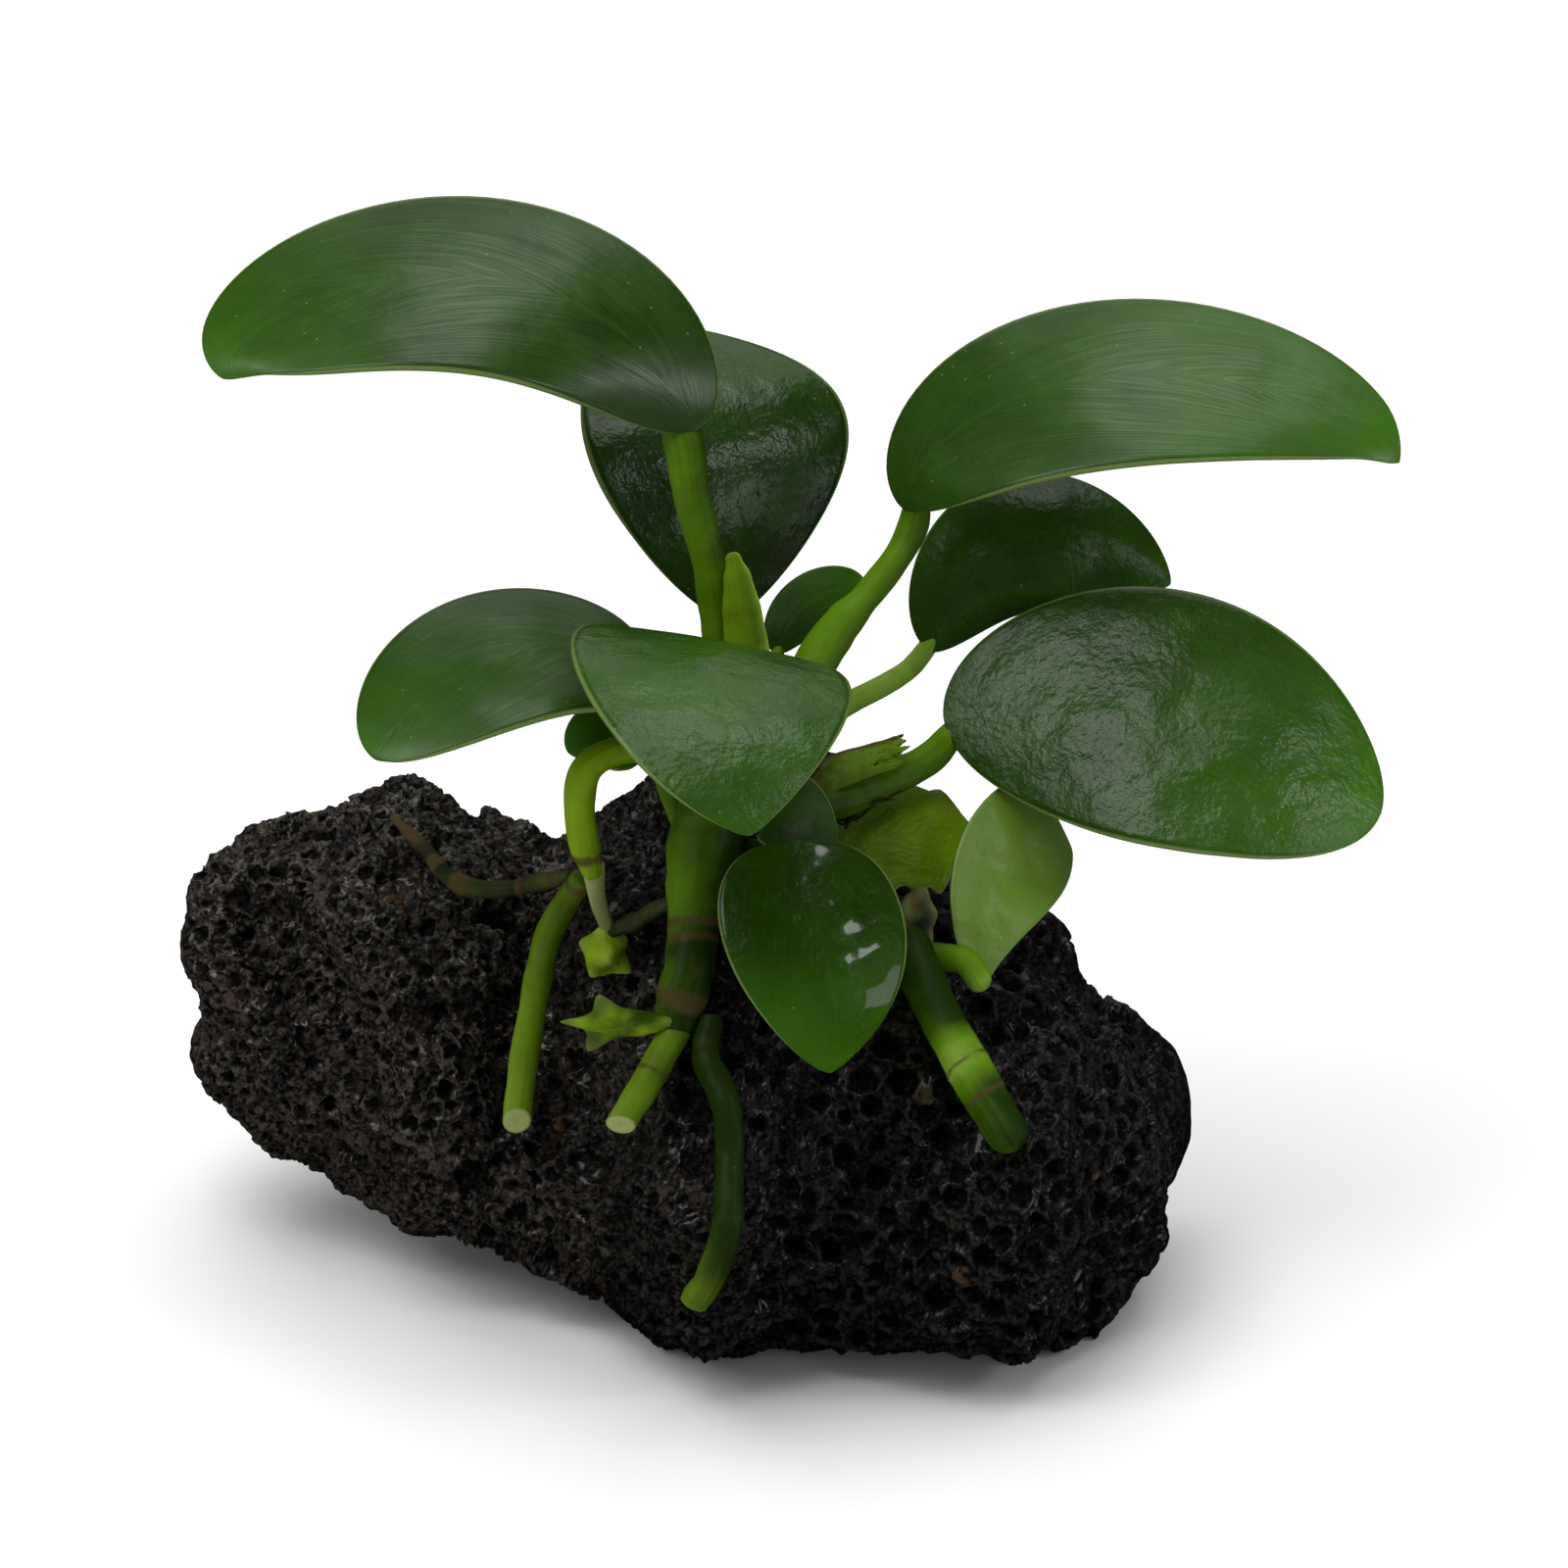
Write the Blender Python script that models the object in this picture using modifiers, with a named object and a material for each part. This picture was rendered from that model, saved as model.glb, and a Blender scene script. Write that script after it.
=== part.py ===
"""Anubias on stone: a small rooted water plant that sits on a porous black lava stone.

Sizes and places are in millimetres and angles in degrees until they reach Blender, which works in
metres. X runs along the stone, Y runs to its back and Z is up. The origin is on the stone's foot.
"""

import math
import random
from collections import namedtuple

import bmesh
import bpy
from mathutils import Matrix, Vector, kdtree, noise
from mathutils.bvhtree import BVHTree

MM = 0.001
GAP = 0.4  # kept between neighbours that touch on the real plant

# ---------------------------------------------------------------- the stone's driving dimensions

STONE_LEFT, STONE_RIGHT = -52.0, 50.0
STONE_SQUARENESS = 2.6  # 2 is an oval section, more is boxier
STONE_TRIANGLES = 3200

# Cross-sections from the stone's left end to its right end. front and back are the section's reach
# in Y, bottom and top its reach in Z, and lean is how far its upper half slopes back.
Section = namedtuple("Section", "x front back bottom top lean")
SECTIONS = [
    Section(-52.0, 9.0, 10.0, 29.0, 30.0, 0.0),
    Section(-50.5, 3.0, 14.5, 26.5, 35.0, 0.0),
    Section(-47.5, -2.0, 18.5, 17.0, 37.0, 0.5),
    Section(-42.0, -7.0, 23.0, 11.0, 40.5, 1.0),
    Section(-36.0, -8.5, 23.5, 7.0, 42.0, 2.0),
    Section(-28.0, -16.0, 22.0, 5.0, 45.5, 4.0),
    Section(-21.0, -18.0, 25.0, 6.0, 41.5, 3.0),
    Section(-14.0, -17.5, 27.5, 0.5, 36.5, 2.0),
    Section(-7.0, -27.5, 26.5, -0.5, 42.5, 6.0),
    Section(1.0, -38.0, 20.5, -1.0, 47.0, 12.0),
    Section(13.0, -31.5, 21.0, -1.0, 49.0, 13.0),
    Section(20.0, -31.5, 20.0, -1.0, 46.0, 11.0),
    Section(27.0, -34.5, 15.5, -1.0, 40.0, 9.0),
    Section(33.0, -36.0, 9.5, -1.0, 36.5, 7.0),
    Section(39.0, -26.5, 7.0, 0.0, 31.5, 5.0),
    Section(44.0, -17.5, 7.5, 3.5, 27.0, 3.0),
    Section(47.5, -7.0, 9.0, 8.0, 18.0, 1.0),
    Section(49.5, -2.5, 4.5, 13.0, 19.5, 0.0),
    Section(50.0, 0.5, 1.5, 15.5, 16.5, 0.0),
]

# The broad lumps and the ridges between them: how wide they are, and how far they stand out.
LUMPS = [(17.0, 1.6), (7.0, 0.9), (3.4, 0.4)]

# The large hollows that show on the front: where each opens, how wide it is and how deep.
Hollow = namedtuple("Hollow", "place width depth")
HOLLOWS = [
    Hollow((-41.4, -3.0, 37.2), 10.0, 2.6),
    Hollow((-39.0, -5.9, 31.1), 6.0, 1.8),
    Hollow((-41.0, -6.6, 27.4), 5.5, 1.6),
    Hollow((-28.2, -4.6, 44.3), 6.0, 1.6),
    Hollow((-26.1, -10.1, 41.2), 5.5, 1.6),
    Hollow((-24.7, -12.2, 32.7), 6.0, 1.8),
    Hollow((-9.9, -21.2, 20.2), 6.5, 1.8),
    Hollow((29.3, -20.7, 34.9), 9.0, 2.0),
    Hollow((18.5, -29.2, 24.0), 9.0, 1.8),
    Hollow((33.8, -35.2, 19.3), 7.0, 2.2),
    Hollow((24.1, -34.4, 12.4), 6.5, 2.0),
    Hollow((-20.4, -12.6, 6.4), 6.0, 1.6),
    Hollow((-13.0, -17.8, 8.8), 6.0, 1.6),
    Hollow((14.7, -29.5, 16.7), 5.5, 1.6),
    Hollow((7.7, -34.0, 20.7), 5.0, 1.4),
    Hollow((8.6, -33.3, 25.1), 5.0, 1.4),
    Hollow((-34.6, 8.1, 43.6), 6.0, 1.6),
]

SMALL_PITS = 260
SMALL_PIT_WIDTHS = (2.2, 4.8)
SMALL_PIT_REACH = 0.9  # how far along the stone's half length the small pits lie
PIT_DEPTH = 0.32  # as a share of a small pit's width
PIT_SEED = 12


# --------------------------------------------------------------------------------- the leaf blades

# A blade's midrib is a curve from base to tip that leaves the base towards rise and reaches the tip
# from droop. turn and lift aim its upper face: turn 0 faces the front, 90 faces the right, and lift
# 90 faces up. twist winds it along its length, fold raises the margins and cup bends them down
# again. shoulder and point shape the outline: below 0.5 the base or the tip is blunt, and above it
# is drawn out. lobe pulls the margin back past the base.
Leaf = namedtuple("Leaf", "base rise droop tip turn lift twist width fold cup shoulder point lobe")
LEAVES = {
    "upper_left": Leaf(
        (1.0, -6.0, 91.5), (-10.0, -0.5, 112.0), (-38.8, -3.5, 105.5), (-43.5, -11.0, 99.3),
        1, 67, 14, 23.5, 9, 17, 0.55, 0.64, 0.0,
    ),
    "upper_right": Leaf(
        (20.5, 2.0, 80.0), (28.0, 4.5, 93.0), (54.0, 7.0, 92.5), (68.3, -1.5, 87.2),
        0, 66, 5, 22.8, 20, 15, 0.65, 0.76, 0.0,
    ),
    "back": Leaf(
        (4.0, 5.0, 67.0), (4.0, 6.0, 85.5), (3.5, 6.5, 86.5), (-6.0, 22.5, 91.0),
        31, 28, 1, 28.5, 15, 21, 0.7, 0.65, 0.0,
    ),
    "mid_right": Leaf(
        (23.5, 5.0, 63.5), (29.0, 3.0, 80.0), (38.5, 7.5, 78.0), (46.5, 7.0, 70.5),
        12, 40, -12, 16.5, -4, 41, 0.5, 0.6, 0.0,
    ),
    "lower_right": Leaf(
        (24.5, -2.5, 60.0), (41.5, -7.5, 66.5), (52.0, -12.5, 64.5), (66.5, -11.5, 54.0),
        -11, 49, -23, 27.0, 8, 25, 0.5, 0.5, 0.0,
    ),
    "centre": Leaf(
        (1.0, -15.0, 73.2), (2.5, -28.0, 76.3), (4.0, -39.5, 75.0), (6.0, -44.0, 67.3),
        22, 60, 6, 26.5, 13, 21, 0.3, 0.7, 0.1,
    ),
    "left": Leaf(
        (-4.0, -8.5, 66.0), (-11.5, -11.0, 74.5), (-23.0, -20.5, 73.0), (-29.0, -27.5, 67.0),
        -25, 62, -3, 20.0, 14, 19, 0.5, 0.6, 0.0,
    ),
    "front": Leaf(
        (10.5, -24.0, 57.0), (11.0, -27.0, 52.0), (15.5, -37.0, 47.5), (13.5, -31.5, 36.5),
        20, 30, 1, 18.5, 1, 22, 0.35, 0.6, 0.0,
    ),
    "front_small": Leaf(
        (9.0, -18.5, 60.5), (10.5, -19.0, 61.0), (13.0, -20.0, 58.5), (14.5, -20.5, 54.0),
        20, 45, 0, 7.5, 10, 20, 0.5, 0.6, 0.0,
    ),
    "left_small": Leaf(
        (-3.5, -12.0, 61.5), (-5.5, -12.5, 63.0), (-9.0, -13.5, 64.0), (-11.5, -14.0, 61.5),
        -13, 42, 0, 7.5, 14, 20, 0.5, 0.6, 0.0,
    ),
    "yellow": Leaf(
        (13.0, -11.0, 48.0), (18.0, -8.5, 49.5), (23.5, -7.0, 49.5), (27.5, -5.5, 48.0),
        0, 50, 0, 11.0, 20, 18, 0.5, 0.5, 0.0,
    ),
    "light": Leaf(
        (28.2, -20.5, 39.5), (27.5, -19.0, 46.0), (31.0, -11.5, 50.5), (36.0, -5.0, 51.5),
        15, 22, 0, 12.0, 12, 30, 1.0, 0.4, 0.0,
    ),
    "top_small": Leaf(
        (8.5, -2.0, 66.5), (9.0, 0.0, 70.0), (13.0, 2.5, 72.0), (17.0, 4.5, 71.0),
        0, 30, 0, 5.5, 12, 20, 0.5, 0.5, 0.0,
    ),
}
SMALL_LEAVES = ("front_small", "left_small", "yellow", "light", "top_small")
YOUNG_LEAVES = ("yellow", "light")
BLADE_THICKNESS = 0.6
BLADE_CROWN = 0.08  # how far a blade's middle stands above its margins, as a share of its half width
BLADE_CELLS = (10, 6)  # along and across
SMALL_BLADE_CELLS = (8, 4)

# ------------------------------------------------------------------------------ stalks and shoots

# Each stalk runs from the crown to its leaf's base. The last radius is where it meets the blade.
Stalk = namedtuple("Stalk", "route radii")
STALKS = {
    "upper_left": Stalk(
        [(3.6, -12.6, 63.8), (2.8, -9.5, 71.0), (1.2, -7.5, 79.8), (-0.5, -6.5, 86.6)],
        [1.8, 1.8, 1.8, 1.8, 1.5],
    ),
    "upper_right": Stalk(
        [(9.4, -11.9, 62.9), (15.3, -3.5, 67.9), (17.8, -1.5, 71.0), (20.0, 0.2, 75.0)],
        [1.4, 1.8, 1.6, 1.5, 1.2],
    ),
    "back": Stalk([(4.5, -9.2, 62.6), (4.5, -3.0, 64.0), (4.2, 1.5, 65.5)], [1.3, 1.3, 1.2, 0.8]),
    "mid_right": Stalk(
        [(7.6, -11.2, 59.6), (15.8, 0.0, 60.6), (19.1, 2.0, 61.6), (21.5, 3.5, 62.6)],
        [1.3, 1.2, 1.1, 1.1, 0.9],
    ),
    "lower_right": Stalk(
        [(8.1, -14.7, 56.3), (16.7, -9.0, 55.0), (22.3, -5.5, 55.3), (24.0, -4.4, 56.8)],
        [1.7, 1.9, 1.8, 1.6, 0.8],
    ),
    "centre": Stalk([(3.8, -15.9, 65.7), (1.6, -17.0, 69.0)], [1.1, 1.3, 0.6]),
    "left": Stalk([(0.0, -12.4, 61.4), (-2.2, -10.2, 64.0)], [1.2, 1.2, 0.8]),
    "left_small": Stalk([(-1.2, -14.2, 58.6), (-2.4, -12.4, 60.8)], [0.8, 0.8, 0.5]),
    "front": Stalk([(6.5, -19.5, 53.0), (9.0, -21.6, 55.5)], [1.2, 1.1, 0.6]),
    "front_small": Stalk([(8.6, -15.8, 58.2), (8.8, -17.2, 59.5)], [0.8, 0.8, 0.5]),
    "yellow": Stalk([(5.9, -16.8, 52.8), (9.5, -13.2, 50.5), (11.3, -11.6, 49.2)], [0.9, 0.9, 0.9, 0.4]),
    "light": Stalk([(24.3, -17.0, 42.0), (25.6, -18.1, 40.6)], [1.1, 1.2, 0.4]),
    "top_small": Stalk(
        [(6.7, -11.0, 62.9), (7.6, -7.5, 64.4), (8.1, -4.5, 65.6)], [0.8, 0.8, 0.8, 0.5],
    ),
}

# The stems and roots: a tube that is laid is kept on the stone's surface where it would sink in.
Tube = namedtuple("Tube", "material laid route radii")
TUBES = {
    "rhizome": Tube(
        "stem_green", False,
        [(4.8, -13.0, 63.0), (4.4, -14.2, 60.5), (3.2, -16.3, 57.8), (1.8, -19.0, 55.0), (1.0, -21.5, 51.5),
         (0.5, -23.5, 47.8), (0.2, -26.0, 44.9), (-0.5, -27.5, 42.5), (-1.1, -28.6, 40.4)],
        [3.0, 3.9, 3.9, 3.7, 3.1, 2.5, 2.4, 2.4, 2.1],
    ),
    "rhizome_right": Tube(
        "stem_green", True,
        [(16.0, -18.0, 47.5), (20.5, -17.5, 43.5), (23.6, -24.0, 38.9), (27.2, -29.0, 34.0),
         (30.2, -32.0, 29.6)],
        [1.8, 2.1, 2.1, 2.2, 2.1],
    ),
    "side_shoot": Tube(
        "stem_light", False,
        [(0.0, -16.9, 61.1), (-4.8, -17.4, 63.4), (-7.6, -18.0, 63.2), (-9.6, -18.6, 61.9),
         (-10.3, -19.0, 58.5), (-9.9, -19.0, 54.5), (-9.2, -19.0, 51.6)],
        [1.2, 1.3, 1.4, 1.5, 1.5, 1.5, 1.1],
    ),
    "sheath_centre": Tube(
        "sheath_yellow", False,
        [(7.0, -13.4, 64.2), (6.0, -12.0, 72.0), (5.4, -11.0, 77.4), (4.8, -10.5, 79.6)],
        [0.9, 1.9, 1.6, 0.9],
    ),
    "root_left": Tube(
        "root_green", False,
        [(-10.4, -17.2, 49.4), (-13.4, -15.5, 43.2), (-14.6, -15.0, 38.0), (-15.5, -16.0, 33.3),
         (-16.2, -18.0, 29.5), (-16.7, -20.5, 25.4)],
        [1.2, 1.4, 1.4, 1.4, 1.4, 1.4],
    ),
    "root_brown": Tube(
        "root_brown", True,
        [(-11.5, -13.0, 48.0), (-14.5, -9.5, 45.5), (-18.0, -8.0, 44.0), (-21.5, -7.0, 43.6),
         (-23.5, -6.5, 44.6), (-26.0, -4.0, 46.6), (-29.0, -1.0, 48.4)],
        [0.6, 0.8, 0.9, 0.9, 0.8, 0.7, 0.4],
    ),
    "root_front": Tube(
        "root_green", True,
        [(2.0, -29.0, 38.4), (1.8, -30.0, 36.5), (3.5, -33.5, 34.0), (4.0, -36.0, 29.0),
         (3.8, -40.0, 24.5), (2.4, -40.0, 19.0), (0.6, -38.5, 15.0)],
        [1.2, 1.4, 1.5, 1.5, 1.5, 1.5, 1.4],
    ),
    "cut_stub": Tube(
        "root_green", False,
        [(-1.6, -29.8, 39.0), (-4.0, -33.0, 35.8), (-6.3, -35.0, 32.6)],
        [1.5, 1.5, 1.4],
    ),
    "bud_stalk": Tube(
        "stem_light", False,
        [(-8.8, -18.6, 50.2), (-7.6, -18.0, 47.4), (-6.7, -18.0, 45.4)],
        [0.7, 0.7, 1.0],
    ),
    "bud_root": Tube(
        "root_brown", False,
        [(-5.2, -18.2, 43.4), (-4.2, -19.0, 44.0), (-2.8, -20.8, 45.4), (-1.9, -22.0, 46.0)],
        [0.5, 0.6, 0.6, 0.5],
    ),
}
LAID_STEP = 4.0  # spacing of a laid tube's points
LAID_WAY = Vector((0.0, -0.8, 0.6))  # the way it is lifted off the stone

# A bud or bract is a ball drawn out into points: each point is a direction, how far it reaches
# beyond the ball and how sharp it is.
Bud = namedtuple("Bud", "place half_sizes points")
BUDS = {
    "bud": Bud(
        (-8.0, -18.0, 42.0), (2.4, 2.0, 2.5),
        [((-0.8, 0.0, 0.6), 0.8, 20), ((0.8, -0.2, -0.5), 1.1, 14), ((0.1, -0.3, 1.0), 0.3, 10)],
    ),
    "star_bract": Bud(
        (-6.8, -30.2, 40.4), (3.8, 1.5, 1.9),
        [((-1.0, 0.0, 0.1), 2.2, 14), ((-0.45, 0.0, 1.0), 1.6, 24), ((-0.55, 0.0, -1.0), 1.8, 24)],
    ),
}

TORN_SHEATH = Leaf(
    (12.6, -12.0, 58.6), (14.5, -10.5, 59.8), (17.5, -8.0, 59.8), (21.0, -6.0, 59.4),
    0, 20, 0, 2.6, 0, 20, 0.4, 0.3, 0.0,
)
SHEATH_CELLS = (6, 2)

MATERIALS = {
    "stone": ((0.014, 0.014, 0.014), 0.75),
    "leaf_dark": ((0.020, 0.075, 0.012), 0.35),
    "leaf_green": ((0.035, 0.120, 0.015), 0.35),
    "leaf_young": ((0.130, 0.260, 0.040), 0.40),
    "stem_green": ((0.080, 0.190, 0.015), 0.45),
    "stem_light": ((0.190, 0.350, 0.025), 0.45),
    "sheath_yellow": ((0.230, 0.330, 0.020), 0.50),
    "root_green": ((0.110, 0.230, 0.020), 0.45),
    "root_brown": ((0.110, 0.090, 0.035), 0.60),
}


# ------------------------------------------------------------------------------------ the basics


def clear_scene():
    for thing in list(bpy.data.objects):
        bpy.data.objects.remove(thing, do_unlink=True)


def make_materials():
    for name, (colour, roughness) in MATERIALS.items():
        material = bpy.data.materials.new(name)
        material.use_nodes = True
        shader = material.node_tree.nodes["Principled BSDF"]
        shader.inputs["Base Color"].default_value = (*colour, 1.0)
        shader.inputs["Roughness"].default_value = roughness
        shader.inputs["Metallic"].default_value = 0.0


def finish(piece, name, material, collection):
    """Name a piece, give it its material and keep it in the object's collection."""
    piece.name = name
    piece.data.materials.clear()
    piece.data.materials.append(bpy.data.materials[material])
    for home in list(piece.users_collection):
        home.objects.unlink(piece)
    collection.objects.link(piece)
    return piece


# ------------------------------------------------------------------------------------- the stone


def section_at(x):
    """The stone's cross-section at x, on smooth curves through the given ones."""
    last = len(SECTIONS) - 2
    i = next((k for k in range(last) if x < SECTIONS[k + 1].x), last)
    near, far = SECTIONS[i], SECTIONS[i + 1]
    before, after = SECTIONS[max(i - 1, 0)], SECTIONS[min(i + 2, last + 1)]
    span = far.x - near.x
    u = min(max((x - near.x) / span, 0.0), 1.0)
    values = []
    for a, b, c, d in zip(before[1:], near[1:], far[1:], after[1:]):
        slope_near = (c - a) / (far.x - before.x) * span
        slope_far = (d - b) / (after.x - near.x) * span
        values.append(
            (2 * u**3 - 3 * u**2 + 1) * b
            + (u**3 - 2 * u**2 + u) * slope_near
            + (3 * u**2 - 2 * u**3) * c
            + (u**3 - u**2) * slope_far
        )
    return Section(x, *values)


def stone_point(direction):
    """Where a unit direction from the middle of the stone meets its plain, unlumped form."""
    half_length = (STONE_RIGHT - STONE_LEFT) / 2
    section = section_at(STONE_LEFT + half_length * (1 + direction.x))
    y, z = direction.y, direction.z
    size = math.hypot(y, z)
    if size < 1e-9:
        y, z = 1.0, 0.0
    else:
        y, z = y / size, z / size
    stretch = (abs(y) ** STONE_SQUARENESS + abs(z) ** STONE_SQUARENESS) ** (-1 / STONE_SQUARENESS)
    y, z = y * stretch, z * stretch
    return Vector((
        section.x,
        (section.front + section.back) / 2 + y * (section.back - section.front) / 2
        + max(z, 0.0) * section.lean,
        (section.bottom + section.top) / 2 + z * (section.top - section.bottom) / 2,
    ))


def raise_lumps(mesh):
    """Move a stone mesh's points out and in along their normals, one size of lump after another."""
    for width, height in LUMPS:
        mesh.normal_update()
        moves = [v.normal * (noise.noise(v.co / width) * 2 * height) for v in mesh.verts]
        for vertex, move in zip(mesh.verts, moves):
            vertex.co += move


def sink_pits(mesh, pits):
    """Press each (place, width, depth) into the mesh, along the normal at its nearest point."""
    mesh.normal_update()
    tree = kdtree.KDTree(len(mesh.verts))
    for i, vertex in enumerate(mesh.verts):
        tree.insert(vertex.co, i)
    tree.balance()
    moves = {}
    for place, width, depth in pits:
        inward = -mesh.verts[tree.find(place)[1]].normal
        for _, i, distance in tree.find_range(place, width / 2):
            sunk = depth * (1 - (2 * distance / width) ** 2)
            if sunk > moves.get(i, (0.0, None))[0]:
                moves[i] = (sunk, inward)
    for i, (sunk, inward) in moves.items():
        mesh.verts[i].co += inward * sunk


def small_pits():
    """Pits of mixed widths, scattered over the whole stone."""
    chance = random.Random(PIT_SEED)
    smallest, largest = SMALL_PIT_WIDTHS
    pits = []
    for _ in range(SMALL_PITS):
        width = smallest + (largest - smallest) * chance.random() ** 1.5
        along = chance.uniform(-SMALL_PIT_REACH, SMALL_PIT_REACH)
        way = Vector((along, chance.gauss(0, 1), chance.gauss(0, 1)))
        pits.append((stone_point(way), width, PIT_DEPTH * width))
    return pits


def make_stone(collection):
    bpy.ops.mesh.primitive_ico_sphere_add(subdivisions=6, radius=1.0)
    stone = bpy.context.object
    mesh = bmesh.new()
    mesh.from_mesh(stone.data)
    for vertex in mesh.verts:
        vertex.co = stone_point(vertex.co.normalized())
    raise_lumps(mesh)
    mesh.verts.ensure_lookup_table()
    sink_pits(mesh, small_pits() + [tuple(hollow) for hollow in HOLLOWS])
    bmesh.ops.scale(mesh, vec=(MM, MM, MM), verts=mesh.verts)
    mesh.to_mesh(stone.data)
    triangles = len(mesh.faces)
    mesh.free()

    fewer = stone.modifiers.new("fewer faces", "DECIMATE")
    fewer.ratio = STONE_TRIANGLES / triangles
    bpy.ops.object.modifier_apply(modifier=fewer.name)
    cut_foot(stone)
    return finish(stone, "stone", "stone", collection)


def cut_foot(stone):
    """Cut the stone off level at Z = 0, where it rests."""
    mesh = bmesh.new()
    mesh.from_mesh(stone.data)
    everything = mesh.verts[:] + mesh.edges[:] + mesh.faces[:]
    cut = bmesh.ops.bisect_plane(
        mesh, geom=everything, plane_co=(0, 0, 0), plane_no=(0, 0, 1), clear_inner=True
    )
    rim = [part for part in cut["geom_cut"] if isinstance(part, bmesh.types.BMEdge)]
    bmesh.ops.triangle_fill(mesh, edges=rim, use_beauty=True, use_dissolve=False, normal=(0, 0, -1))
    mesh.to_mesh(stone.data)
    mesh.free()


# -------------------------------------------------------------------------------- leaves and tubes


def blade_point(leaf, t, s):
    """The upper surface at t along the midrib (0 to 1) and s across (-1 to 1), in millimetres."""
    base, rise, droop, tip = (Vector(place) for place in leaf[:4])
    r = 1 - t
    middle = base * r**3 + rise * (3 * t * r**2) + droop * (3 * t**2 * r) + tip * t**3
    along = ((rise - base) * r**2 + (droop - rise) * (2 * t * r) + (tip - droop) * t**2).normalized()
    turn, lift = math.radians(leaf.turn), math.radians(leaf.lift)
    face = Vector((
        math.sin(turn) * math.cos(lift), -math.cos(turn) * math.cos(lift), math.sin(lift)
    ))
    face = (face - along * face.dot(along)).normalized()
    face = Matrix.Rotation(math.radians(leaf.twist) * (t - 0.5), 3, along) @ face
    side = along.cross(face)

    widest = leaf.shoulder / (leaf.shoulder + leaf.point)
    outline = (max(t, 0.0) ** leaf.shoulder * max(r, 0.0) ** leaf.point) / (
        widest**leaf.shoulder * (1 - widest) ** leaf.point
    )
    half_width = leaf.width / 2 * outline
    fold, cup, reach = math.radians(leaf.fold), math.radians(leaf.cup), abs(s)
    out = (math.sin(fold) - math.sin(fold - cup)) / cup * reach
    edge = (math.cos(fold - cup) - math.cos(fold)) / cup
    crown = max(edge + BLADE_CROWN, 0.0)
    up = crown + (edge - crown) * reach**2
    length = (tip - base).length
    back = leaf.lobe * length * reach**2 * r**3 * min(outline, 1.0)
    return middle + side * (math.copysign(out, s) * half_width) + face * (up * half_width) - along * back


def make_blade(name, leaf, material, cells, collection):
    along, across = cells
    bpy.ops.mesh.primitive_grid_add(x_subdivisions=across, y_subdivisions=along, size=2.0)
    blade = bpy.context.object
    mesh = bmesh.new()
    mesh.from_mesh(blade.data)
    for vertex in mesh.verts:
        t = 0.5 - 0.5 * math.cos(math.pi * (vertex.co.y + 1) / 2)
        vertex.co = blade_point(leaf, t, vertex.co.x) * MM
    bmesh.ops.remove_doubles(mesh, verts=mesh.verts, dist=1e-6)
    mesh.to_mesh(blade.data)
    mesh.free()
    shell = blade.modifiers.new("thickness", "SOLIDIFY")
    shell.thickness = BLADE_THICKNESS * MM
    shell.offset = -1.0
    for polygon in blade.data.polygons:
        polygon.use_smooth = True
    return finish(blade, name, material, collection)


def make_tube(name, route, radii, material, collection, steps=3):
    """A round stalk or root through the route's points, with a radius at each point."""
    curve = bpy.data.curves.new(name, "CURVE")
    curve.dimensions = "3D"
    curve.resolution_u = steps
    curve.bevel_depth = MM
    curve.bevel_resolution = 2
    curve.use_fill_caps = True
    spline = curve.splines.new("BEZIER")
    spline.bezier_points.add(len(route) - 1)
    for point, place, radius in zip(spline.bezier_points, route, radii):
        point.co = Vector(place) * MM
        point.radius = radius
        point.handle_left_type = point.handle_right_type = "AUTO"
    tube = bpy.data.objects.new(name, curve)
    collection.objects.link(tube)
    return finish(tube, name, material, collection)


def laid(route, radii, stone):
    """The same route with closer points, each held clear of the stone's surface."""
    places, sizes = [], []
    for a, b, size_a, size_b in zip(route, route[1:], radii, radii[1:]):
        a, b = Vector(a), Vector(b)
        steps = max(1, round((b - a).length / LAID_STEP))
        places += [a.lerp(b, k / steps) for k in range(steps)]
        sizes += [size_a + (size_b - size_a) * k / steps for k in range(steps)]
    places.append(Vector(route[-1]))
    sizes.append(radii[-1])
    lifts = []
    for place, size in zip(places, sizes):
        lift = 0.0
        while room(place + LAID_WAY * lift, stone) < size + 3 * GAP:
            lift += 0.1
        lifts.append(lift)
    for _ in range(4):
        middles = [(a + b) / 2 for a, b in zip(lifts, lifts[2:])]
        lifts[1:-1] = [max(lift, middle) for lift, middle in zip(lifts[1:-1], middles)]
    return [place + LAID_WAY * lift for place, lift in zip(places, lifts)], sizes


def room(place, stone):
    """How far a place is outside the stone, or below 0 how far inside it."""
    nearest, normal, _, distance = stone.find_nearest(place)
    return distance if (place - nearest).dot(normal) > 0 else -distance


def make_bud(name, bud, material, collection):
    bpy.ops.mesh.primitive_ico_sphere_add(subdivisions=3, radius=1.0)
    piece = bpy.context.object
    for vertex in piece.data.vertices:
        way = vertex.co.normalized()
        reach = Vector(a * b for a, b in zip(way, bud.half_sizes))
        for point, length, sharpness in bud.points:
            point = Vector(point).normalized()
            reach += point * (length * max(0.0, way.dot(point)) ** sharpness)
        vertex.co = (Vector(bud.place) + reach) * MM
    return finish(piece, name, material, collection)


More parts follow.
